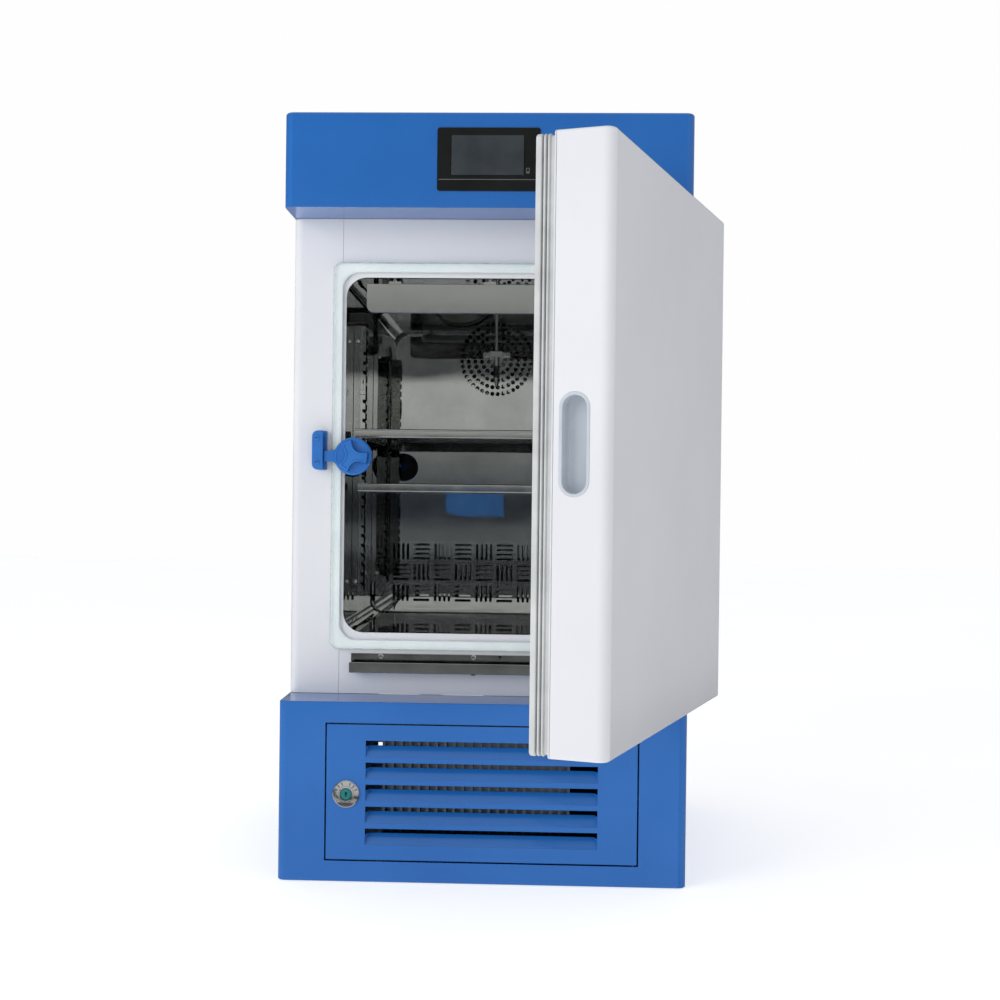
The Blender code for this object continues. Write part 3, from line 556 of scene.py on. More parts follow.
def folded_cover(node, fold_low, fold_high, hole, roof):
    """Rings from the bottom fold to the top one, a ledge, and a hole 2 mm larger than its cover."""
    low, high = corners(node)
    window, level = ((hole[0][column] - 2, hole[1][column] + 2) for column in (0, 2))
    ledge = corners("front_fascia")[0][1]
    t = np.radians(np.linspace(0, 90, 5))
    inset = np.concatenate([fold_low * (1 - np.sin(t)), [0, 0], fold_high * (1 - np.cos(t))])
    foot = low[2] + fold_low * (1 - np.cos(t))
    head = high[2] - fold_high * (1 - np.sin(t))
    heights = np.concatenate([foot, level, head])
    half, back = high[0], high[1] - 0.4
    rings = [lifted(cover_plan(half, back, ledge, window, i), "z", z) for i, z in zip(inset, heights)]
    spots, faces = skin(rings, first=False, last=False, around=False)
    count = len(rings[0])
    middle = spots[np.array(faces)].mean(1)
    in_window = ((middle[:, 0] > window[0]) & (middle[:, 0] < window[1]) & (middle[:, 1] < FRONT + 1)
                 & (middle[:, 2] > level[0]) & (middle[:, 2] < level[1]))
    faces = [face for face, skip in zip(faces, in_window) if not skip]
    top = (len(rings) - 1) * count
    shelf = list(range(1, count - 1))
    if roof:
        faces += [[top + i for i in range(count)], shelf]
    else:
        faces.append([top + i for i in shelf])
    return spots, faces


screen_low, screen_high = corners("touch_screen")
hatch_low, hatch_high = corners("access_door")
header = piece(
    "header_folded_cover",
    folded_cover("header_cover", 1.2, 3.5, (screen_low, screen_high), True),
    BLUE_COAT, "header_cover", wall=SHEET)
plinth = piece(
    "plinth_folded_cover",
    folded_cover("plinth_cover", 1.0, 2.2, (hatch_low, hatch_high), False),
    BLUE_COAT, "plinth_cover", wall=SHEET)
print("covers", len(header.data.polygons), "and", len(plinth.data.polygons), "faces")

# %% [markdown]
# ## Touch panel
# The controller's face is a black bezel with a slightly lower display, a thin printed line
# below it and a small mark at its side. The bezel is a flat plate with a window; its rims are
# rounded so that they catch the light.

# %% Bezel and marks
bezel_low, bezel_high = corners("touch_bezel")
window = face_of(screen_low, screen_high, -0.4, 0.6)
outline = face_of(bezel_low, bezel_high, 0, 3.5)
piece("bezel_plate", plate(outline, "y", bezel_low[1], bezel_high[1], [window], 0.7),
      BEZEL_PLASTIC, "touch_bezel")
line = rounded(bezel_low[0] + 2, bezel_high[0] - 2, 0, 0.7, 0.3) + (0, screen_low[2] - 6.4)
PRINT_LEVEL = (bezel_low[1] - 0.12, bezel_low[1] + 0.3)
marks = [plate(line, "y", *PRINT_LEVEL, edge=0.05)]
for side, tall in ((6.5, 6.0), (3.5, 2.6)):
    middle = (screen_high[0] + 5.6, screen_low[2] + side)
    spot = rounded(-2.2, 2.2, -tall / 2, tall / 2, 0.8) + middle
    hole = rounded(-1.6, 1.6, -tall / 2 + 0.6, tall / 2 - 0.6, 0.4) + middle
    marks.append(plate(spot, "y", *PRINT_LEVEL, [hole], edge=0.05))
piece("bezel_print", joined(*marks), PRINT, "touch_bezel", added=True)
print("bezel", np.round(bezel_high - bezel_low, 1), "mm")

# %% [markdown]
# ## Small screws
# The same pan-head screw holds the tray, the keeper, the rails and the back cover. Four rings
# give the head, and a dark bar let into its top is painted shade standing for the slot. All the
# screws of one piece share one mesh, copied by adding each place to the whole table of points at once.

# %% Screws


def screw_heads(places, axis, radius, height, slot=0.9, turn=0.0):
    """Round heads that stand out along -axis, and a dark bar in the top of each, painted shade for its
    slot.
    """
    rings = [lifted(circle((0, 0), radius * share, 20) @ spin(turn), axis, -rise * height)
             for share, rise in ((1.0, 0.0), (1.0, 0.45), (0.86, 0.8), (0.6, 1.0))]
    solid = skin(rings)
    bar = rounded(-radius * 0.62, radius * 0.62, -slot / 2, slot / 2, slot / 4, 2) @ spin(turn)
    # Painted shade: the slot is a near-black bar sitting in the head's top, not a cut.
    cut = skin([lifted(bar, axis, -height * 0.9), lifted(bar, axis, -height * 1.03)])
    places = np.asarray(places, float)
    heads = [(solid[0] + place, solid[1]) for place in places]
    slots = [(cut[0] + place, cut[1]) for place in places]
    return joined(*heads), joined(*slots)


def screws(name, places, node, axis="y", radius=3.4, height=2.0, turn=20.0, finish=None, door=False):
    """Heads in bright steel, and their slots as narrow dark bars of painted shade let into the heads."""
    heads, slots = screw_heads(places, axis, radius, height, turn=turn)
    piece(name, heads, finish or CHROME, node, added=True, door=door)
    piece(name + "_slot_shades", slots, DARK, node, added=True, door=door)


back_low, back_high = corners("rear_cover")
xs = np.linspace(back_low[0] + 12, back_high[0] - 12, 4)
zs = np.linspace(back_low[2] + 14, back_high[2] - 14, 7)
rim = [(x, z) for x in xs for z in (zs[0], zs[-1])]
rim += [(x, z) for x in (xs[0], xs[-1]) for z in zs[1:-1]]
rim = np.array([(x, back_high[1], z) for x, z in rim])
heads, slots = screw_heads(rim * (-1, -1, 1), "y", 4.2, 2.0)
# Their slots are near-black bars of painted shade.
piece("rear_cover_screws", (heads[0] * (-1, -1, 1), heads[1]), ZINC, "rear_cover", added=True)
piece("rear_cover_screw_slot_shades", (slots[0] * (-1, -1, 1), slots[1]), DARK, "rear_cover", added=True)
print(len(rim), "screws on the back cover")

# %% [markdown]
# ## Chamber liner
# The liner is a deep-drawn box with rounded corners all round and a soft radius where the walls
# meet the back. Rings of one rounded rectangle run to the back and then shrink round the rear
# radius; the last ring closes as the back wall.

# %% Liner
open_low, open_high = corners("chamber_liner")
LINER_WALL = 1.2
LINER_CORNER = 17.0
REAR_RADIUS = 10.0


def box_ring(low, high, inset, radius, level):
    """A rounded rectangle between two corners seen along y, drawn smaller by inset."""
    return lifted(face_of(low, high, inset, max(radius - inset, 0.5)), "y", level)


t = np.radians(np.linspace(0, 90, 7))
levels = np.concatenate([[open_low[1]], open_high[1] - REAR_RADIUS * (1 - np.sin(t))])
insets = np.concatenate([[0], REAR_RADIUS * (1 - np.cos(t))])
rings = [box_ring(open_low, open_high, inset, LINER_CORNER + LINER_WALL, level)
         for inset, level in zip(insets, levels)]
piece("drawn_liner", skin(rings, first=False), MIRROR, "chamber_liner", wall=LINER_WALL)
print("liner", np.round(open_high - open_low), "mm")

# %% [markdown]
# ## Air panel
# A flat mirror-like panel hides the fan. Rings of round holes let the air in above, and blocks
# of four slots, level and upright in turn like a basket weave, let it out below. The places
# of all the holes are worked out together, and every rim is rounded so that it shows as a
# fine bright edge.

# %% Air panel
panel_low, panel_high = corners("air_panel")
FAN_AT = np.array(JOINTS["circulation_fan_spin"]["pos_m"])[[0, 2]] / MM
HOLE_RINGS = ((57.3, 41), (46.5, 33), (35.5, 25), (24.5, 17), (13.5, 9))
WEAVE = 34.2
WEAVE_TOP = 428.5
SLOT_LONG, SLOT_WIDE, SLOT_STEP = 26.3, 3.6, 7.6


def weave_slots():
    """Four rounded slots in each block, turned a quarter where row + column is even."""
    slot = rounded(-SLOT_LONG / 2, SLOT_LONG / 2, -SLOT_WIDE / 2, SLOT_WIDE / 2, SLOT_WIDE / 2 - 0.01, 3)
    loops = []
    for row in range(3):
        for column in range(10):
            middle = ((column - 4.5) * WEAVE, WEAVE_TOP - row * WEAVE)
            for step in (-1.5, -0.5, 0.5, 1.5):
                loop = slot + (0, step * SLOT_STEP)
                loops.append((loop[:, ::-1] if (row + column) % 2 == 0 else loop) + middle)
    return loops


holes = []
for radius, count in HOLE_RINGS:
    for spot in circle((0, 0), radius, count):
        holes.append(circle(spot + FAN_AT, 3.25, 12))
outline = face_of(panel_low, panel_high, 0, 14)
air = piece("pierced_air_panel",
            plate(outline, "y", panel_low[1], panel_high[1], holes + weave_slots(), 0.35),
            MIRROR, "air_panel")
print("air panel", len(holes), "holes,", len(air.data.polygons), "faces")

# %% [markdown]
# ## Lamp and shade
# The shade is an upright steel plate below the ceiling, with rounded lower corners, a hem
# turned back along its lower edge, and three tabs screwed to the ceiling. The lamp behind it is
# the imported strip in opal plastic with well-rounded edges.

# %% Lamp
shade_low, shade_high = corners("lamp_shade")
HEM = 5.5
face = rounded(shade_low[0], shade_high[0], shade_low[2], shade_high[2] - 3.4, (10, 10, 1, 1))
shade = [plate(face, "y", shade_low[1], shade_low[1] + 1.2, edge=0.5)]
hem_plan = rounded(shade_low[0] + 11, shade_high[0] - 11, shade_low[1] + 0.8, shade_low[1] + HEM, 0.5, 2)
shade.append(plate(hem_plan, "z", shade_low[2], shade_low[2] + 1.2, edge=0.3))
TABS = (-134.0, 0.0, 134.0)
for x in TABS:
    tab = rounded(x - 9, x + 9, shade_low[1] + 0.1, shade_high[1], (1, 1, 6, 6), 4)
    shade.append(plate(tab, "z", shade_high[2] - 1.2, shade_high[2], edge=0.3))
    neck = rounded(x - 9, x + 9, shade_high[2] - 4.5, shade_high[2], 0.5, 2)
    shade.append(plate(neck, "y", shade_low[1], shade_low[1] + 1.2, edge=0.3))
piece("folded_lamp_shade", joined(*shade), BRIGHT_STEEL, "lamp_shade")
screws("lamp_tab_screws", [(x, shade_low[1] - 0.2, shade_high[2] + 0.4) for x in TABS], "lamp_shade",
       radius=2.6, height=1.6)
eased("lamp_strip", 4.0, OPAL, 4)
print("shade", np.round(shade_high - shade_low, 1), "mm")

# %% [markdown]
# ## Shelf rails
# Four upright channels are screwed to the side walls. Their front flange has a row of hook
# notches along its free edge, so that a shelf can hang at any height, and a small clip sits at
# each shelf. The flange is an outline with notches worked out from their pitch; the web and
# the rear flange are plain plates.

# %% Rails
NOTCH_PITCH = 14.0
NOTCH_DEEP, NOTCH_TALL = 4.0, 5.5


def notched_edge(free, wall, low, high):
    """A flange's outline: straight at the wall, and stepped in at each notch of its free edge."""
    inward = math.copysign(NOTCH_DEEP, wall - free)
    starts = np.arange(low + 10, high - 14, NOTCH_PITCH)
    steps = np.stack([
        np.column_stack([np.full(len(starts), free), starts]),
        np.column_stack([np.full(len(starts), free + inward), starts + 1.5]),
        np.column_stack([np.full(len(starts), free + inward), starts + NOTCH_TALL]),
        np.column_stack([np.full(len(starts), free), starts + NOTCH_TALL]),
    ], 1).reshape(-1, 2)
    return np.vstack([[(wall, low), (free, low)], steps, [(free, high), (wall, high)]])


RAILS = [f"{end}_{side}_rail" for end in ("front", "rear") for side in ("left", "right")]
for node in RAILS:
    low, high = corners(node)
    free, wall = (high[0], low[0]) if low[0] < 0 else (low[0], high[0])
    inner = math.copysign(1.5, wall)
    flange = notched_edge(free, wall, low[2], high[2])
    web = rounded(low[1] + 1.6, high[1] - 1.6, low[2], high[2], 0.5, 2)
    back = rounded(*sorted((free, wall)), low[2], high[2], 0.5, 2)
    piece(node + "_channel", joined(
        plate(flange, "y", low[1], low[1] + 1.5, edge=0.3),
        plate(web, "x", *sorted((wall, wall - inner)), edge=0.3),
        plate(back, "y", high[1] - 1.5, high[1], edge=0.3),
    ), MIRROR, node)
    x = (free + wall) / 2 + math.copysign(3.0, wall)
    screws(node + "_screws", [(x, low[1] - 0.1, z) for z in (high[2] - 22, low[2] + 16)], node,
           radius=2.8, height=1.6)
print("four notched rails, a notch every", NOTCH_PITCH, "mm")

# %% Clips at the shelves
HOOK = np.array([(9, 0), (-0.5, 0), (-0.5, 26), (2.5, 26), (2.5, 7), (9, 7)])
CLIPS_AT = {"upper_shelf": (52.0, 118.0), "lower_shelf": (-62.0,)}      # heights above each shelf
for node in RAILS[::2] + RAILS[1::2]:
    low, high = corners(node)
    side = math.copysign(1.0, low[0] + high[0])
    free = low[0] if side > 0 else high[0]
    clips = []
    for shelf, heights in CLIPS_AT.items():
        for above in heights:
            foot = corners(shelf)[1][2] + above
            hook = HOOK * (side, 1) + (free, foot)
            clips.append(plate(hook, "y", low[1] - 2.6, low[1] - 0.4, edge=0.4))
    piece(node + "_clips", joined(*clips), MIRROR, node, added=True)
for level in ("upper", "lower"):
    for side in ("left", "right"):
        eased(f"{level}_{side}_runner", 0.4, BRIGHT_STEEL)
print("clips and runners ready")

# %% [markdown]
# ## Shelves
# A shelf is a pierced tray whose front edge is bent into a channel: two bright bends with a
# shadow between them. The channel is one section carried sideways; the tray has staggered
# rows of long round-ended slots.

# %% Shelves


def bent_strip(centre, thickness):
    """A closed section from its middle line: the line offset both ways along its normals."""
    centre = np.asarray(centre, float)
    slope = np.gradient(centre, axis=0)
    normal = np.column_stack([-slope[:, 1], slope[:, 0]]) / np.linalg.norm(slope, axis=1)[:, None]
    half = thickness / 2
    return np.vstack([centre + half * normal, (centre - half * normal)[::-1]])


for node in ("upper_shelf", "lower_shelf"):
    low, high = corners(node)
    top, front = high[2] - 0.75, low[1] + 0.75
    bend = 2.2
    foot = low[2] + 0.75
    line = np.vstack([
        [(front + 14, top)], arc((front + bend, top - bend), bend, 90, 180),
        arc((front + bend, foot + bend), bend, 180, 270), [(front + 10.8, foot)],
        arc((front + 10.8, foot + 1.2), 1.2, 270, 360, 3),
    ])
    channel = skin([lifted(bent_strip(line, 1.3), "x", x) for x in (low[0], high[0])])
    tray_low, tray_high = low[0] + 9.5, high[0] - 9.5
    slots = []
    for row in range(14):
        y = low[1] + 32 + row * 18.5
        shift = 13.0 if row % 2 else 0.0
        for column in range(-6, 7):
            x = column * 26 + shift
            if abs(x) < 160:
                slots.append(rounded(x - 9, x + 9, y - 2.2, y + 2.2, 2.19, 3))
    tray = rounded(tray_low, tray_high, low[1] + 12, high[1], 0.6, 2)
    lip = rounded(tray_low + 20, tray_high - 20, high[2] - 9, high[2] - 1, 0.5, 2)
    piece(node + "_tray", joined(
        channel,
        plate(tray, "z", high[2] - 1.5, high[2] - 0.05, slots, 0.25),
        plate(lip, "y", high[1] - 1.5, high[1], edge=0.3),
    ), BRIGHT_STEEL, node)
    print(node, len(slots), "slots")

# %% [markdown]
# ## Temperature probe
# The sensor is a thin rod hanging from the ceiling with a wider sheath near its tip, held off
# the panel by a small clamp with a screw at each end. Its black lead sags in one loop to the
# ceiling gland. The lead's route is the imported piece's own.

# %% Probe, clamp and lead
probe_low, probe_high = corners("temperature_probe")
clamp_low, clamp_high = corners("probe_clamp")
probe_at = (probe_low[:2] + probe_high[:2]) / 2
tip = probe_low[2]
rod = [(0.4, 0), (1.3, 1.2), (3.6, 11), (4.3, 15), (4.3, 58.4), (3.9, 59), (2.7, 60)]
gland = [(2.7, -8.6), (5.4, -8.4), (6.6, -7), (6.6, 0)]
profile = np.vstack([np.add(rod, (0, tip)), np.add(gland, (0, probe_high[2]))])
piece("turned_probe", turned(profile, "z", probe_at, 28), SATIN_STEEL, "temperature_probe")
sheath = [(4.4, tip + 16), (4.5, tip + 17), (4.5, tip + 34), (4.4, tip + 35)]
piece("probe_sleeve", turned(sheath, "z", probe_at, 28), CABLE_PLASTIC, "temperature_probe",
      added=True)
eased("probe_clamp", 0.4, SATIN_STEEL)
level = (clamp_low[2] + clamp_high[2]) / 2
ends = [(x, clamp_high[1] - 3.3, level) for x in (clamp_low[0] + 5, clamp_high[0] - 5)]
screws("probe_clamp_screws", ends, "probe_clamp", radius=3.0, height=1.8)
LEAD = ((-98, 824), (-96, 815), (-80, 804), (-58, 801), (-36, 805), (-20, 814), (-12, 819), (-7.8, 819.4))
LEAD_DEPTH = (418, 418, 418, 417, 415, 412, 412, 412)
route = smooth_path([(x, FRONT + depth, z) for (x, z), depth in zip(LEAD, LEAD_DEPTH)], 5)
piece("sensor_lead", tube(route, 2.6, 14), CABLE_PLASTIC, "sensor_cable")
print("lead", round(float(np.linalg.norm(np.diff(route, axis=0), axis=1).sum())), "mm long")

# %% [markdown]
# ## Glass door
# A tempered pane with ground, rounded edges swings in front of the opening. Behind its edge a
# white silicone seal is a soft bead: rings of a rounded rectangle whose inset and depth follow
# the bead's section, and whose corner radius grows towards the inside.

# %% Pane and seal
pane_low, pane_high = corners("glass_pane")
pane = piece("ground_edge_pane",
             plate(face_of(pane_low, pane_high, 0, 12), "y", pane_low[1], pane_high[1], edge=0.8),
             GLASS, "glass_pane")
pane.data.materials.append(GLASS_EDGE)
tilt = np.empty(len(pane.data.polygons) * 3, np.float32)
pane.data.polygons.foreach_get("normal", tilt)
pane.data.polygons.foreach_set("material_index", (np.abs(tilt.reshape(-1, 3)[:, 1]) < 0.9).astype(np.int32))

seal_low, seal_high = corners("glass_seal")
SEAL_WIDE = 13.5
thick = seal_high[1] - seal_low[1]
BEAD = ((0.0, 0.35), (0.03, 0.1), (0.1, 0.0), (0.45, 0.0), (0.72, 0.02), (0.9, 0.12),
        (0.98, 0.35), (1.0, 0.6), (0.96, 0.85), (0.88, 1.0), (0.3, 1.0), (0.06, 0.9))


def bead_ring(share, level):
    """One loop of the seal: inset by a share of its width, with corners opening from 12 to 22."""
    inset = share * SEAL_WIDE
    return lifted(face_of(seal_low, seal_high, inset, 12 + 10 * share), "y", seal_low[1] + level * thick)


piece("silicone_bead", skin([bead_ring(*spot) for spot in BEAD], along=True), SILICONE, "glass_seal")
for node in ("upper_glass_clamp", "lower_glass_clamp", "upper_glass_bracket", "lower_glass_bracket"):
    eased(node, 0.7, WHITE_PLASTIC, 3)
print("pane", np.round(pane_high - pane_low, 1), "mm")

# %% [markdown]
# ## Latch
# The latch is a blue nylon disc with a tongue that slides behind the keeper's lip. Its grip has
# three lobes with flat ends and hollow sides, so that two fingers can turn it. The disc and
# the tongue share one outline with round fillets; the grip's hollow sides are parabolas from
# lobe to lobe.

# %% Latch
knob_low, knob_high = corners("latch_knob")
KNOB_AT = np.array(JOINTS["glass_latch_turn"]["pos_m"])[[0, 2]] / MM
DISC_R = knob_high[0] - KNOB_AT[0]
NECK = 7.6
FILLET = 9.0
rise = NECK + FILLET
reach = math.sqrt((DISC_R + FILLET) ** 2 - rise ** 2)
meet = math.degrees(math.atan2(rise, reach))
lower = arc((-reach, -rise), FILLET, 90, meet)
body = arc((0, 0), DISC_R, 180 + meet, 540 - meet, 44)
tip = knob_low[0] - KNOB_AT[0]
outline = np.vstack([[(tip, NECK), (tip, -NECK)], lower, body[1:-1], lower[::-1] * (1, -1)])


def grip_outline(grow):
    """Three flat lobe ends joined by parabolas that dip towards the middle."""
    reach, half, hollow = 20.6 + grow, 8.0 + grow, 9.6 + grow
    t = np.linspace(0, 1, 11)[:, None]
    loops = []
    for lobe in (-6, 114, 234):
        turn = np.radians([lobe, lobe + 120, lobe + 60])
        out = np.column_stack([np.cos(turn), np.sin(turn)])
        across = np.column_stack([-np.sin(turn), np.cos(turn)])
        start = reach * out[0] + half * across[0]
        end = reach * out[1] - half * across[1]
        pull = 2 * hollow * out[2] - (start + end) / 2
        low_corner = reach * out[0] - half * 0.65 * across[0] + 0.8 * out[0]
        high_corner = start - half * 0.35 * across[0] + 0.8 * out[0]
        loops += [[low_corner], [high_corner]]
        loops.append((1 - t) ** 2 * start + 2 * t * (1 - t) * pull + t ** 2 * end)
    return np.vstack(loops) + KNOB_AT


STEM = 8.0
GRIP = ((0.0, 10.0), (0.0, 2.2), (-0.35, 1.0), (-1.1, 0.25), (-2.2, 0.0), (-3.0, 0.35), (-3.4, 1.3))
DISC = ((0.0, 17.8), (0.0, 12.4), (0.5, 11.2), (1.6, 10.4), (3.0, 10.0), (3.6, 10.5), (DISC_R - 4.0, 10.5))
grip_rings = [lifted(grip_outline(grow), "y", knob_low[1] + level) for grow, level in GRIP]
disc = [(DISC_R - inset, knob_low[1] + level) for inset, level in DISC]
piece("moulded_latch", joined(
    plate(outline + KNOB_AT, "y", knob_low[1] + 13.8, knob_low[1] + 17.8, edge=0.8),
    turned(disc, "y", KNOB_AT, 56),
    skin(grip_rings),
    turned([(STEM, knob_low[1] + 17), (STEM, knob_high[1])], "y", KNOB_AT, 28),
), LATCH_PLASTIC, "latch_knob")
eased("latch_keeper", 0.8, LATCH_PLASTIC, 3)
keep_low, keep_high = corners("latch_keeper")
x = (keep_low[0] + keep_high[0]) / 2 - 2.5
keeper_screws = [(x, keep_low[1] - 0.1, z) for z in (keep_low[2] + 11, keep_high[2] - 10)]
screws("latch_keeper_screws", keeper_screws, "latch_keeper", radius=4.6, height=1.2,
       finish=LATCH_PLASTIC)
print("latch disc radius", round(float(DISC_R), 1), "mm")

# %% [markdown]
# ## Drip tray
# Condensed water from the glass runs into a narrow steel gutter. The imported piece has the right
# folds, so its edges are only broken; its three screws, a dark disc of painted shade where the
# drain hole in its back would be, and the little outlet under it are added.

# %% Drip tray
tray_low, tray_high = corners("drip_tray")
eased("drip_tray", 0.45, BRIGHT_STEEL, 3)
back_face = tray_high[1] - 1.2
screws("drip_tray_screws", [(tray_low[0] + x, back_face - 0.1, tray_high[2] - 3.9) for x in (42, 172, 302)],
       "drip_tray", radius=3.9, height=2.6)
# Painted shade: the drain hole is a thin near-black disc on the tray's back face.
hole_shade = circle((tray_low[0] + 209, tray_high[2] - 2.6), 2.1, 20)
piece("drip_tray_hole_shade", plate(hole_shade, "y", back_face - 0.25, back_face - 0.02, edge=0.1), DARK,
      "drip_tray", added=True)
outlet = np.array([(2.6, -2.4), (3.4, -2.0), (3.4, -0.1), (5.0, 0.1)]) + (0, tray_low[2])
piece("drip_tray_outlet", turned(outlet, "z", (tray_low[0] + 172, (tray_low[1] + tray_high[1]) / 2), 24),
      CABLE_PLASTIC, "drip_tray", added=True)
print("tray", np.round(tray_high - tray_low, 1), "mm")

# %% [markdown]
# ## Outer door
# The door is a painted steel tray filled with foam. Its upright edges are folded to a large
# radius and its top and bottom to a small one, which one stack of rings gives. Only the grip
# and the hollow of its inner face break that pattern, so both are cut with a Boolean that is
# applied at once. The foam core starts behind the grip.

# %% Door shell
SHELL_CORNER = 12.0
SHELL_FOLD = 3.0
DOOR_SET = 5.0
shell_low, shell_high = corners("door_shell", shut=True)
cup_low, cup_high = corners("handle_cup", shut=True)
FLANGE = 4.0


def shell_ring(inset, level):
    """The door's plan at one height: large radii in front, square behind, drawn smaller by inset."""
    radius = SHELL_CORNER - inset
    plan = rounded(shell_low[0] + inset, shell_high[0] - inset, shell_low[1] + DOOR_SET + inset,
                   shell_high[1] + DOOR_SET, (radius, radius, 0.4, 0.4), 9)
    return lifted(plan, "z", level)


def cut_away(item, shape):
    """Take a shape out of a piece with an exact Boolean, and keep the result as its mesh."""
    spots, faces = shape
    mesh = bpy.data.meshes.new("cutter")
    mesh.from_pydata((spots * MM).tolist(), [], faces)
    settled(mesh)
    cutter = bpy.data.objects.new("cutter", mesh)
    bpy.context.scene.collection.objects.link(cutter)
    modifier = item.modifiers.new("cut", "BOOLEAN")
    modifier.object = cutter
    modifier.solver = "EXACT"
    item.modifiers.move(len(item.modifiers) - 1, 0)
    for other in list(item.modifiers)[1:]:
        item.modifiers.remove(other)
    bpy.context.view_layer.update()
    result = bpy.data.meshes.new_from_object(item.evaluated_get(bpy.context.evaluated_depsgraph_get()))
    result.materials.clear()
    result.materials.append(item.data.materials[0])
    item.modifiers.clear()
    item.data = result
    smoothed(result)
    bpy.data.objects.remove(cutter)
    weighted(item)


t = np.radians(np.linspace(0, 90, 6))
insets = np.concatenate([SHELL_FOLD * (1 - np.sin(t)), SHELL_FOLD * (1 - np.cos(t))])
levels = np.concatenate([shell_low[2] + SHELL_FOLD * (1 - np.cos(t)),
                         shell_high[2] - SHELL_FOLD * (1 - np.sin(t))])
shell = piece("folded_door_shell", skin([shell_ring(*spot) for spot in zip(insets, levels)]),
              WHITE_COAT, "door_shell", door=True)


def cup_ring(inset, level, steps=12):
    """The grip's long round-ended outline, drawn smaller by inset."""
    half = (cup_high[1] - cup_low[1]) / 2 - inset
    return lifted(rounded(cup_low[1] + inset, cup_high[1] - inset, cup_low[2] + inset, cup_high[2] - inset,
                          half - 0.01, steps), "x", level)


face_x = shell_low[0]
hole = skin([cup_ring(FLANGE - 1.5, face_x - 9), cup_ring(FLANGE - 1.5, cup_high[0] + 1)])
cut_away(shell, (swing(hole[0], DOOR_OPEN), hole[1]))
rim_low, rim_high = corners("door_liner", shut=True)
floor_y = rim_low[1] + 1.5
rim_y = rim_high[1] + DOOR_SET
DISH_HALF = 246.0
DISH_FOOT = corners("glass_pane")[0][2] - 34.5
DISH_HEAD = corners("glass_pane")[1][2] + 23.5
dish_low = np.array([-DISH_HALF, 0, DISH_FOOT])
dish_high = np.array([DISH_HALF, 0, DISH_HEAD])
dish = skin([box_ring(dish_low, dish_high, -3.5, 23.5, level) for level in (floor_y - 1.7, rim_y + 6)])
cut_away(shell, (swing(dish[0], DOOR_OPEN), dish[1]))
foam_low, foam_high = corners("door_foam", shut=True)
foam_plan = rounded(foam_low[0] + 9, foam_high[0], foam_low[1] + DOOR_SET, foam_high[1], 10, 4)
piece("foam_core", plate(foam_plan, "z", foam_low[2] + 1, foam_high[2] - 1, edge=0.2), FOAM,
      "door_foam", door=True)
print("door shell", np.round(shell_high - shell_low, 1), "mm,", len(shell.data.polygons), "faces")

# %% [markdown]
# ### Grip, liner and gasket
# The grip is a moulded cup with a rounded flange. The door's inner face is vacuum formed, with a
# shallow dish that clears the latch. The gasket is a bellows: one section with deep grooves
# carried round a frame, so that the grooves go dark by themselves. In life it is soft and flattens
# against the body as the door shuts; here it keeps one shape.

# %% Grip cup
CUP = ((0.4, -0.1), (0.6, -0.35), (1.2, -0.5), (3.0, -0.5), (3.7, -0.2), (4.1, 0.6), (4.6, 14.0),
       (5.3, 16.6), (6.6, 18.0), (8.6, 18.5), (10.5, 18.5))
cup = skin([cup_ring(inset, face_x + deep) for inset, deep in CUP], first=False)
# The grip's darker grey is partly painted shade in its hollow.
piece("moulded_grip", cup, SHADED_GRIP_PLASTIC, "handle_cup", wall=1.2, door=True)

# %% Door liner
LINER_RINGS = (
    (rim_low, rim_high, 0.0, 3.0, rim_y - 2.0), (rim_low, rim_high, 0.0, 3.0, rim_y - 0.9),
    (rim_low, rim_high, 0.9, 3.0, rim_y), (dish_low, dish_high, -2.6, 20.0, rim_y),
    (dish_low, dish_high, -1.6, 20.0, rim_y - 0.4), (dish_low, dish_high, -0.6, 20.0, rim_y - 1.5),
    (dish_low, dish_high, 0.0, 20.0, rim_y - 3.4), (dish_low, dish_high, 1.6, 20.0, floor_y + 5.5),
    (dish_low, dish_high, 2.5, 20.0, floor_y + 2.8), (dish_low, dish_high, 4.3, 20.0, floor_y + 0.9),
    (dish_low, dish_high, 7.0, 20.0, floor_y),
)
rings = [box_ring(low, high, inset, radius, level) for low, high, inset, radius, level in LINER_RINGS]
piece("formed_door_liner", skin(rings, first=False), WHITE_PLASTIC, "door_liner",
      wall=1.5, door=True)

# %% Bellows gasket
seat_low, seat_high = corners("door_gasket", shut=True)
GASKET_WIDE = 15.0
foot_y = rim_y + 0.2
BELLOWS = ((3.2, 0.0), (0.6, 0.2), (0.1, 0.9), (0.3, 1.8), (2.4, 2.4), (2.6, 8.3), (0.8, 8.7),
           (0.2, 9.5), (0.5, 10.7), (1.4, 11.2), (6.0, 11.5), (6.2, 12.1), (6.0, 12.7), (1.3, 13.0),
           (0.4, 13.5), (0.2, 14.4), (0.6, 15.3), (1.4, 15.6), (6.0, 15.9), (6.2, 16.6), (6.0, 17.3),
           (1.0, 17.6), (0.2, 18.3), (0.0, 21.0), (0.2, 23.2), (0.9, 24.0))
inner = [(GASKET_WIDE - inset, level) for inset, level in reversed(BELLOWS)]
section = [*BELLOWS, *inner]
seat_low[2], seat_high[2] = shell_low[2] - 0.8, shell_high[2] + 0.8
rings = [box_ring(seat_low, seat_high, inset, 6.0, foot_y + level) for inset, level in section]
bellows = piece("bellows_gasket", skin(rings, along=True), GASKET, "door_gasket", door=True)
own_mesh(bellows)
for node in ("upper_hinge_leaf", "lower_hinge_leaf", "upper_hinge_bracket", "lower_hinge_bracket"):
    eased(node, 0.5, ZINC)
print("gasket section", len(section), "points")

# %% [markdown]
# ## Service door
# The plinth's door lets air reach the condenser. Each louvre is the sheet itself, sheared along
# its top edge and pressed in, so the blade leaves the sheet smoothly at its foot and its ends
# close in slanting cheeks. A blade is one section whose depth grows from its foot, carried
# along x and flattened at both ends.

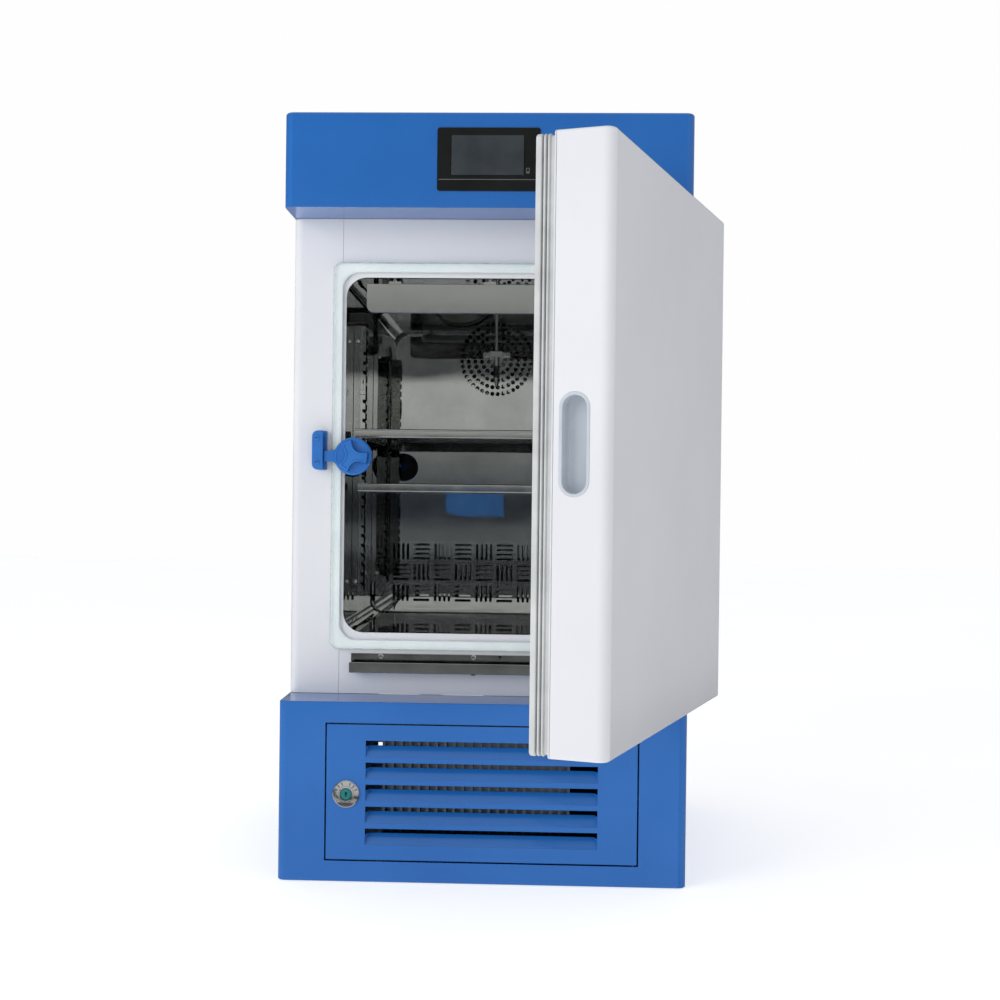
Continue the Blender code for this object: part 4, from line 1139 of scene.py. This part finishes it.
# %% Louvred sheet
LOUVRE_HALF = 156.0
LOUVRE_HEAD = 190.0
LOUVRE_PITCH = 29.6
LOUVRE_TALL = 22.0
LOUVRE_GAP = 8.0
LOUVRE_IN = 11.5
BLADE = 1.2
BLADE_CURVE = 0.92
CHEEK = 0.4             # how far each slanting end leans in, as a share of its depth
LOCK_AT = np.array(JOINTS["lock_turn"]["pos_m"])[[0, 2]] / MM


def louvre(foot):
    """One pressed blade: depth = LOUVRE_IN x (share of its height) to the power BLADE_CURVE."""
    share = np.linspace(0, 1, 9)
    depth = LOUVRE_IN * share ** BLADE_CURVE
    height = foot - 0.6 + (LOUVRE_TALL - LOUVRE_GAP + 0.6) * share
    rings = []
    for side, press in ((-1, 0.0), (-1, 0.5), (-1, 0.9), (-1, 1.0), (1, 1.0), (1, 0.9), (1, 0.5), (1, 0.0)):
        x = side * (LOUVRE_HALF + CHEEK - CHEEK * press * depth)
        front = np.column_stack([x, FRONT + 0.12 + press * depth, height])
        back = np.column_stack([x, FRONT + 0.12 + press * depth + BLADE, height])
        rings.append(np.vstack([front, back[::-1]]))
    return skin(rings)


feet = [LOUVRE_HEAD - LOUVRE_TALL - i * LOUVRE_PITCH for i in range(5)]
slots = [rounded(-LOUVRE_HALF, LOUVRE_HALF, foot, foot + LOUVRE_TALL, 0.4, 1) for foot in feet]
slots.append(circle(LOCK_AT, 10.0, 32))
sheet = face_of(hatch_low, hatch_high, 0, 1.0, 2)
HEM_DEEP = 14.0
hem_rings = [box_ring(hatch_low, hatch_high, inset, 1.0, FRONT + deep)
             for inset, deep in ((0.05, 1.2), (0.05, HEM_DEEP), (SHEET, HEM_DEEP), (SHEET, 1.2))]
piece("louvred_service_door", joined(
    plate(sheet, "y", FRONT, FRONT + SHEET, slots, 0.45), skin(hem_rings, along=True), *map(louvre, feet),
), BLUE_COAT, "access_door")
for node in ("upper_access_hinge", "lower_access_hinge"):
    eased(node, 0.4, ZINC)
eased("lock_cam", 0.4, ZINC)

# %% [markdown]
# ### Lock
# The cam lock has a dished chrome rosette with fine radial cuts in it, drawn as thin dark wedges
# of painted shade, and a teal plug with a keyhole. The rosette and the raised ring round the plug
# are one turned profile.

# %% Lock
ROSETTE = ((9.6, 19.0), (9.6, -0.3), (18.6, -0.3), (18.6, -1.3), (18.0, -2.2), (17.0, -2.6), (16.0, -2.3),
           (12.0, -1.1), (10.2, -1.0), (9.9, -2.2), (9.3, -2.7), (8.4, -2.6), (8.1, -2.1), (8.1, 18.6))
profile = [(radius, FRONT + level) for radius, level in ROSETTE]
piece("turned_rosette", turned(profile, "y", LOCK_AT, 56), CHROME, "lock_body")
# Painted shade: each radial cut is a thin near-black wedge laid on the dish.
cut_shades = []
for angle in (24, 46, 68, 112, 134, 156):
    wedge = np.array([(11.6, -0.25), (16.2, -0.7), (16.2, 0.7), (11.6, 0.25)]) @ spin(angle) + LOCK_AT
    ring = lifted(wedge, "y", FRONT - 1.25)
    ring[[1, 2], 1] -= 1.15
    cut_shades.append(skin([ring, ring + (0, 0.8, 0)]))
piece("rosette_cut_shades", joined(*cut_shades), DARK, "lock_body", added=True)
plug_low, plug_high = corners("lock_plug")
keyhole = np.vstack([arc((0, 1.2), 1.5, -60, 240, 10), [(-0.75, -3.2), (0.75, -3.2)]]) + LOCK_AT
piece("lock_plug_face", joined(
    plate(circle(LOCK_AT, 7.7, 40), "y", plug_low[1], plug_low[1] + 3, [keyhole], 0.5),
    turned([(7.6, plug_low[1] + 3), (7.6, plug_high[1])], "y", LOCK_AT, 28),
), TEAL_PLASTIC, "lock_plug")
shadow = plate(circle(LOCK_AT, 5.0, 20), "y", plug_low[1] + 2.4, plug_low[1] + 2.9, edge=0.1)
piece("keyhole_shadow", shadow, DARK, "lock_plug", added=True)
print("lock at", np.round(LOCK_AT, 1))

# %% [markdown]
# ## Back and inside
# Behind the louvres stand the condenser, its fan and the compressor, and on the back cover is
# the mains inlet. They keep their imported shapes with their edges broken.

# %% Inner parts
EASE_BY = {"power_inlet": 0.8, "condenser_fan_frame": 1.0, "control_unit": 1.5, "fan_motor": 1.5,
           "base_pan": 0.8}
for node, width in EASE_BY.items():
    eased(node, width)
print("inner parts eased")

# %% [markdown]
# ## Stage, camera and light
# The stage is a plain pale floor. The light is a bright even dome with a large soft source at
# the left and a weaker one in front, so that the right side falls away gently. Polished steel
# shows whatever stands before it, so rays that bounce off a gloss see a room of pale and dark
# levels with one blue cabinet in it, and the steel reads as steel rather than as white. Rays
# that leave to the right see a plain wall instead, dark only near the floor.

# %% Floor
floor_mesh = bpy.data.meshes.new("floor")
FLOOR_HALF, FLOOR_LEVEL = 9.0, -0.0006
spots = [(x * FLOOR_HALF, y * FLOOR_HALF, FLOOR_LEVEL) for x, y in ((-1, -1), (1, -1), (1, 1), (-1, 1))]
floor_mesh.from_pydata(spots, [], [(0, 1, 2, 3)])
floor = bpy.data.objects.new("floor", floor_mesh)
bpy.context.scene.collection.objects.link(floor)
floor_coat, floor_tree, floor_shader = principled(
    "matt white studio floor", IOR=1.3, Emission_Color=linear("#ffffff"), Emission_Strength=0.5)
mottled(floor_tree, floor_shader, 900, "#f4f4f2", "#f8f8f6", 0.7, 0.8)
floor_mesh.materials.append(floor_coat)
floor.visible_glossy = False
print("floor", 2 * FLOOR_HALF, "m across")

# %% Room light
world = bpy.data.worlds.new("studio")
world.use_nodes = True
bpy.context.scene.world = world
sky = world.node_tree
sky.nodes.clear()
toward = add(sky, "ShaderNodeTexCoord")
parts = add(sky, "ShaderNodeSeparateXYZ", {"Vector": (toward, "Generated")})
rise = add(sky, "ShaderNodeMapRange", {"Value": (parts, "Z")}, {"From Min": -1.0, "From Max": 1.0})


def shade_by_height(levels, height):
    """A colour ramp whose stops are heights of the direction, from -1 straight down to 1 straight up."""
    ramp = add(sky, "ShaderNodeValToRGB", {"Fac": (height, "Result")})
    for place, shade in levels[1:-1]:
        ramp.color_ramp.elements.new(place / 2 + 0.5).color = linear(shade)
    ramp.color_ramp.elements[0].color = linear(levels[0][1])
    ramp.color_ramp.elements[len(levels) - 1].color = linear(levels[-1][1])
    return ramp


ROOM = ((-1.0, "#c0c3c5"), (-0.3, "#b4b7ba"), (-0.15, "#a4a7aa"), (-0.11, "#2c2f32"),
        (-0.045, "#2a2d30"), (-0.036, "#666b6f"), (-0.019, "#585d61"), (-0.0145, "#22252a"),
        (0.004, "#343a40"), (0.009, "#666b6e"), (0.03, "#787b7b"), (0.042, "#c0c1c0"),
        (0.078, "#c8cac9"), (0.084, "#45484a"), (0.122, "#484b4d"), (0.13, "#c2c4c3"),
        (0.17, "#bdbfbe"), (0.2, "#3c3f43"), (0.32, "#4a4d50"), (0.5, "#a9acae"), (1.0, "#e2e4e6"))
room = shade_by_height(ROOM, rise)
SKIRTING_LEAN = 0.536
SIDE_FROM = 0.35
slanted = add(sky, "ShaderNodeMath", {0: (parts, "X"), 2: (parts, "Z")}, {1: SKIRTING_LEAN},
              operation="MULTIPLY_ADD")
side_rise = add(sky, "ShaderNodeMapRange", {"Value": (slanted, "Value")},
                {"From Min": -1.0, "From Max": 1.0})
SIDE = ((-1.0, "#3a3c3e"), (0.132, "#3e4042"), (0.158, "#a2a4a7"), (1.0, "#a8aaad"))
side_room = shade_by_height(SIDE, side_rise)
aside = add(sky, "ShaderNodeMath", {0: (parts, "X")}, {1: SIDE_FROM}, operation="GREATER_THAN")


def near(axis, centre, half):
    """1 where one part of the direction is within half of the centre, else 0."""
    return add(sky, "ShaderNodeMath", {0: (parts, axis)}, {1: centre, 2: half}, operation="COMPARE")


cabinet_wide = near("X", -0.046, 0.02)
cabinet_tall = near("Z", -0.004, 0.0095)
cabinet = add(sky, "ShaderNodeMath", {0: (cabinet_wide, "Value"), 1: (cabinet_tall, "Value")},
              operation="MULTIPLY")
around = add(sky, "ShaderNodeMixRGB",
             {"Fac": (aside, "Value"), "Color1": (room, "Color"), "Color2": (side_room, "Color")})
furnished = add(sky, "ShaderNodeMixRGB", {"Fac": (cabinet, "Value"), "Color1": (around, "Color")},
                {"Color2": linear("#2c5c94")})
ray = add(sky, "ShaderNodeLightPath")
dome = add(sky, "ShaderNodeBackground", None, {"Color": linear("#f6f8ff"), "Strength": 0.57})
gloss = add(sky, "ShaderNodeBackground", {"Color": (furnished, "Color")}, {"Strength": 1.0})
plain = add(sky, "ShaderNodeBackground", None, {"Color": linear("#fefefe"), "Strength": 1.0})
mirrored = add(sky, "ShaderNodeMath", {0: (ray, "Is Glossy Ray"), 1: (ray, "Is Transmission Ray")},
               operation="MAXIMUM")
bounce = add(sky, "ShaderNodeMixShader",
             {0: (mirrored, "Value"), 1: (dome, "Background"), 2: (gloss, "Background")})
seen = add(sky, "ShaderNodeMixShader",
           {0: (ray, "Is Camera Ray"), 1: (bounce, "Shader"), 2: (plain, "Background")})
add(sky, "ShaderNodeOutputWorld", {"Surface": (seen, "Shader")})
print("room light with", len(ROOM), "levels")

# %% Soft key light


def placed(item, side, up, back, place):
    """Stand an item at a place, with its own x, y and z along side, up and back."""
    stand = np.eye(4)
    stand[:3] = np.column_stack([side, up, back, place])
    item.matrix_world = Matrix(stand.tolist())


def soft_light(name, place, aim, size, power):
    """A square area light at a place in metres, turned to face its aim."""
    data = bpy.data.lights.new(name, "AREA")
    data.shape = "SQUARE"
    data.size = size
    data.energy = power
    item = bpy.data.objects.new(name, data)
    bpy.context.scene.collection.objects.link(item)
    back = np.array(place, float) - np.array(aim, float)
    back /= np.linalg.norm(back)
    side = np.cross((0, 0, 1), back)
    side /= np.linalg.norm(side)
    placed(item, side, np.cross(back, side), back, place)
    item.visible_glossy = False
    return item


soft_light("key from the left", (-2.1, -2.1, 1.2), (0, 0, 0.5), 1.6, 27)
soft_light("front fill", (0.2, -3.6, 1.0), (0, 0, 0.5), 2.4, 9)
print("two soft lights")

# %% Camera
YAW, PITCH, ROLL = (math.radians(angle) for angle in (2.044, -0.334, 0.687))
forward = np.array([-math.sin(YAW) * math.cos(PITCH), math.cos(YAW) * math.cos(PITCH), math.sin(PITCH)])
level = np.array([math.cos(YAW), math.sin(YAW), 0.0])
upward = np.cross(level, forward)
camera = bpy.data.objects.new("camera", bpy.data.cameras.new("camera"))
bpy.context.scene.collection.objects.link(camera)
CAMERA_AT = (0.0754, -2.165, 0.5216)
placed(camera, level * math.cos(ROLL) + upward * math.sin(ROLL),
       upward * math.cos(ROLL) - level * math.sin(ROLL), -forward, CAMERA_AT)
camera.data.lens = 50.95
camera.data.shift_x = 0.0096
camera.data.shift_y = 0.0040
bpy.context.scene.camera = camera
bpy.context.scene.view_settings.view_transform = "Standard"
print("camera", np.round(CAMERA_AT, 3))
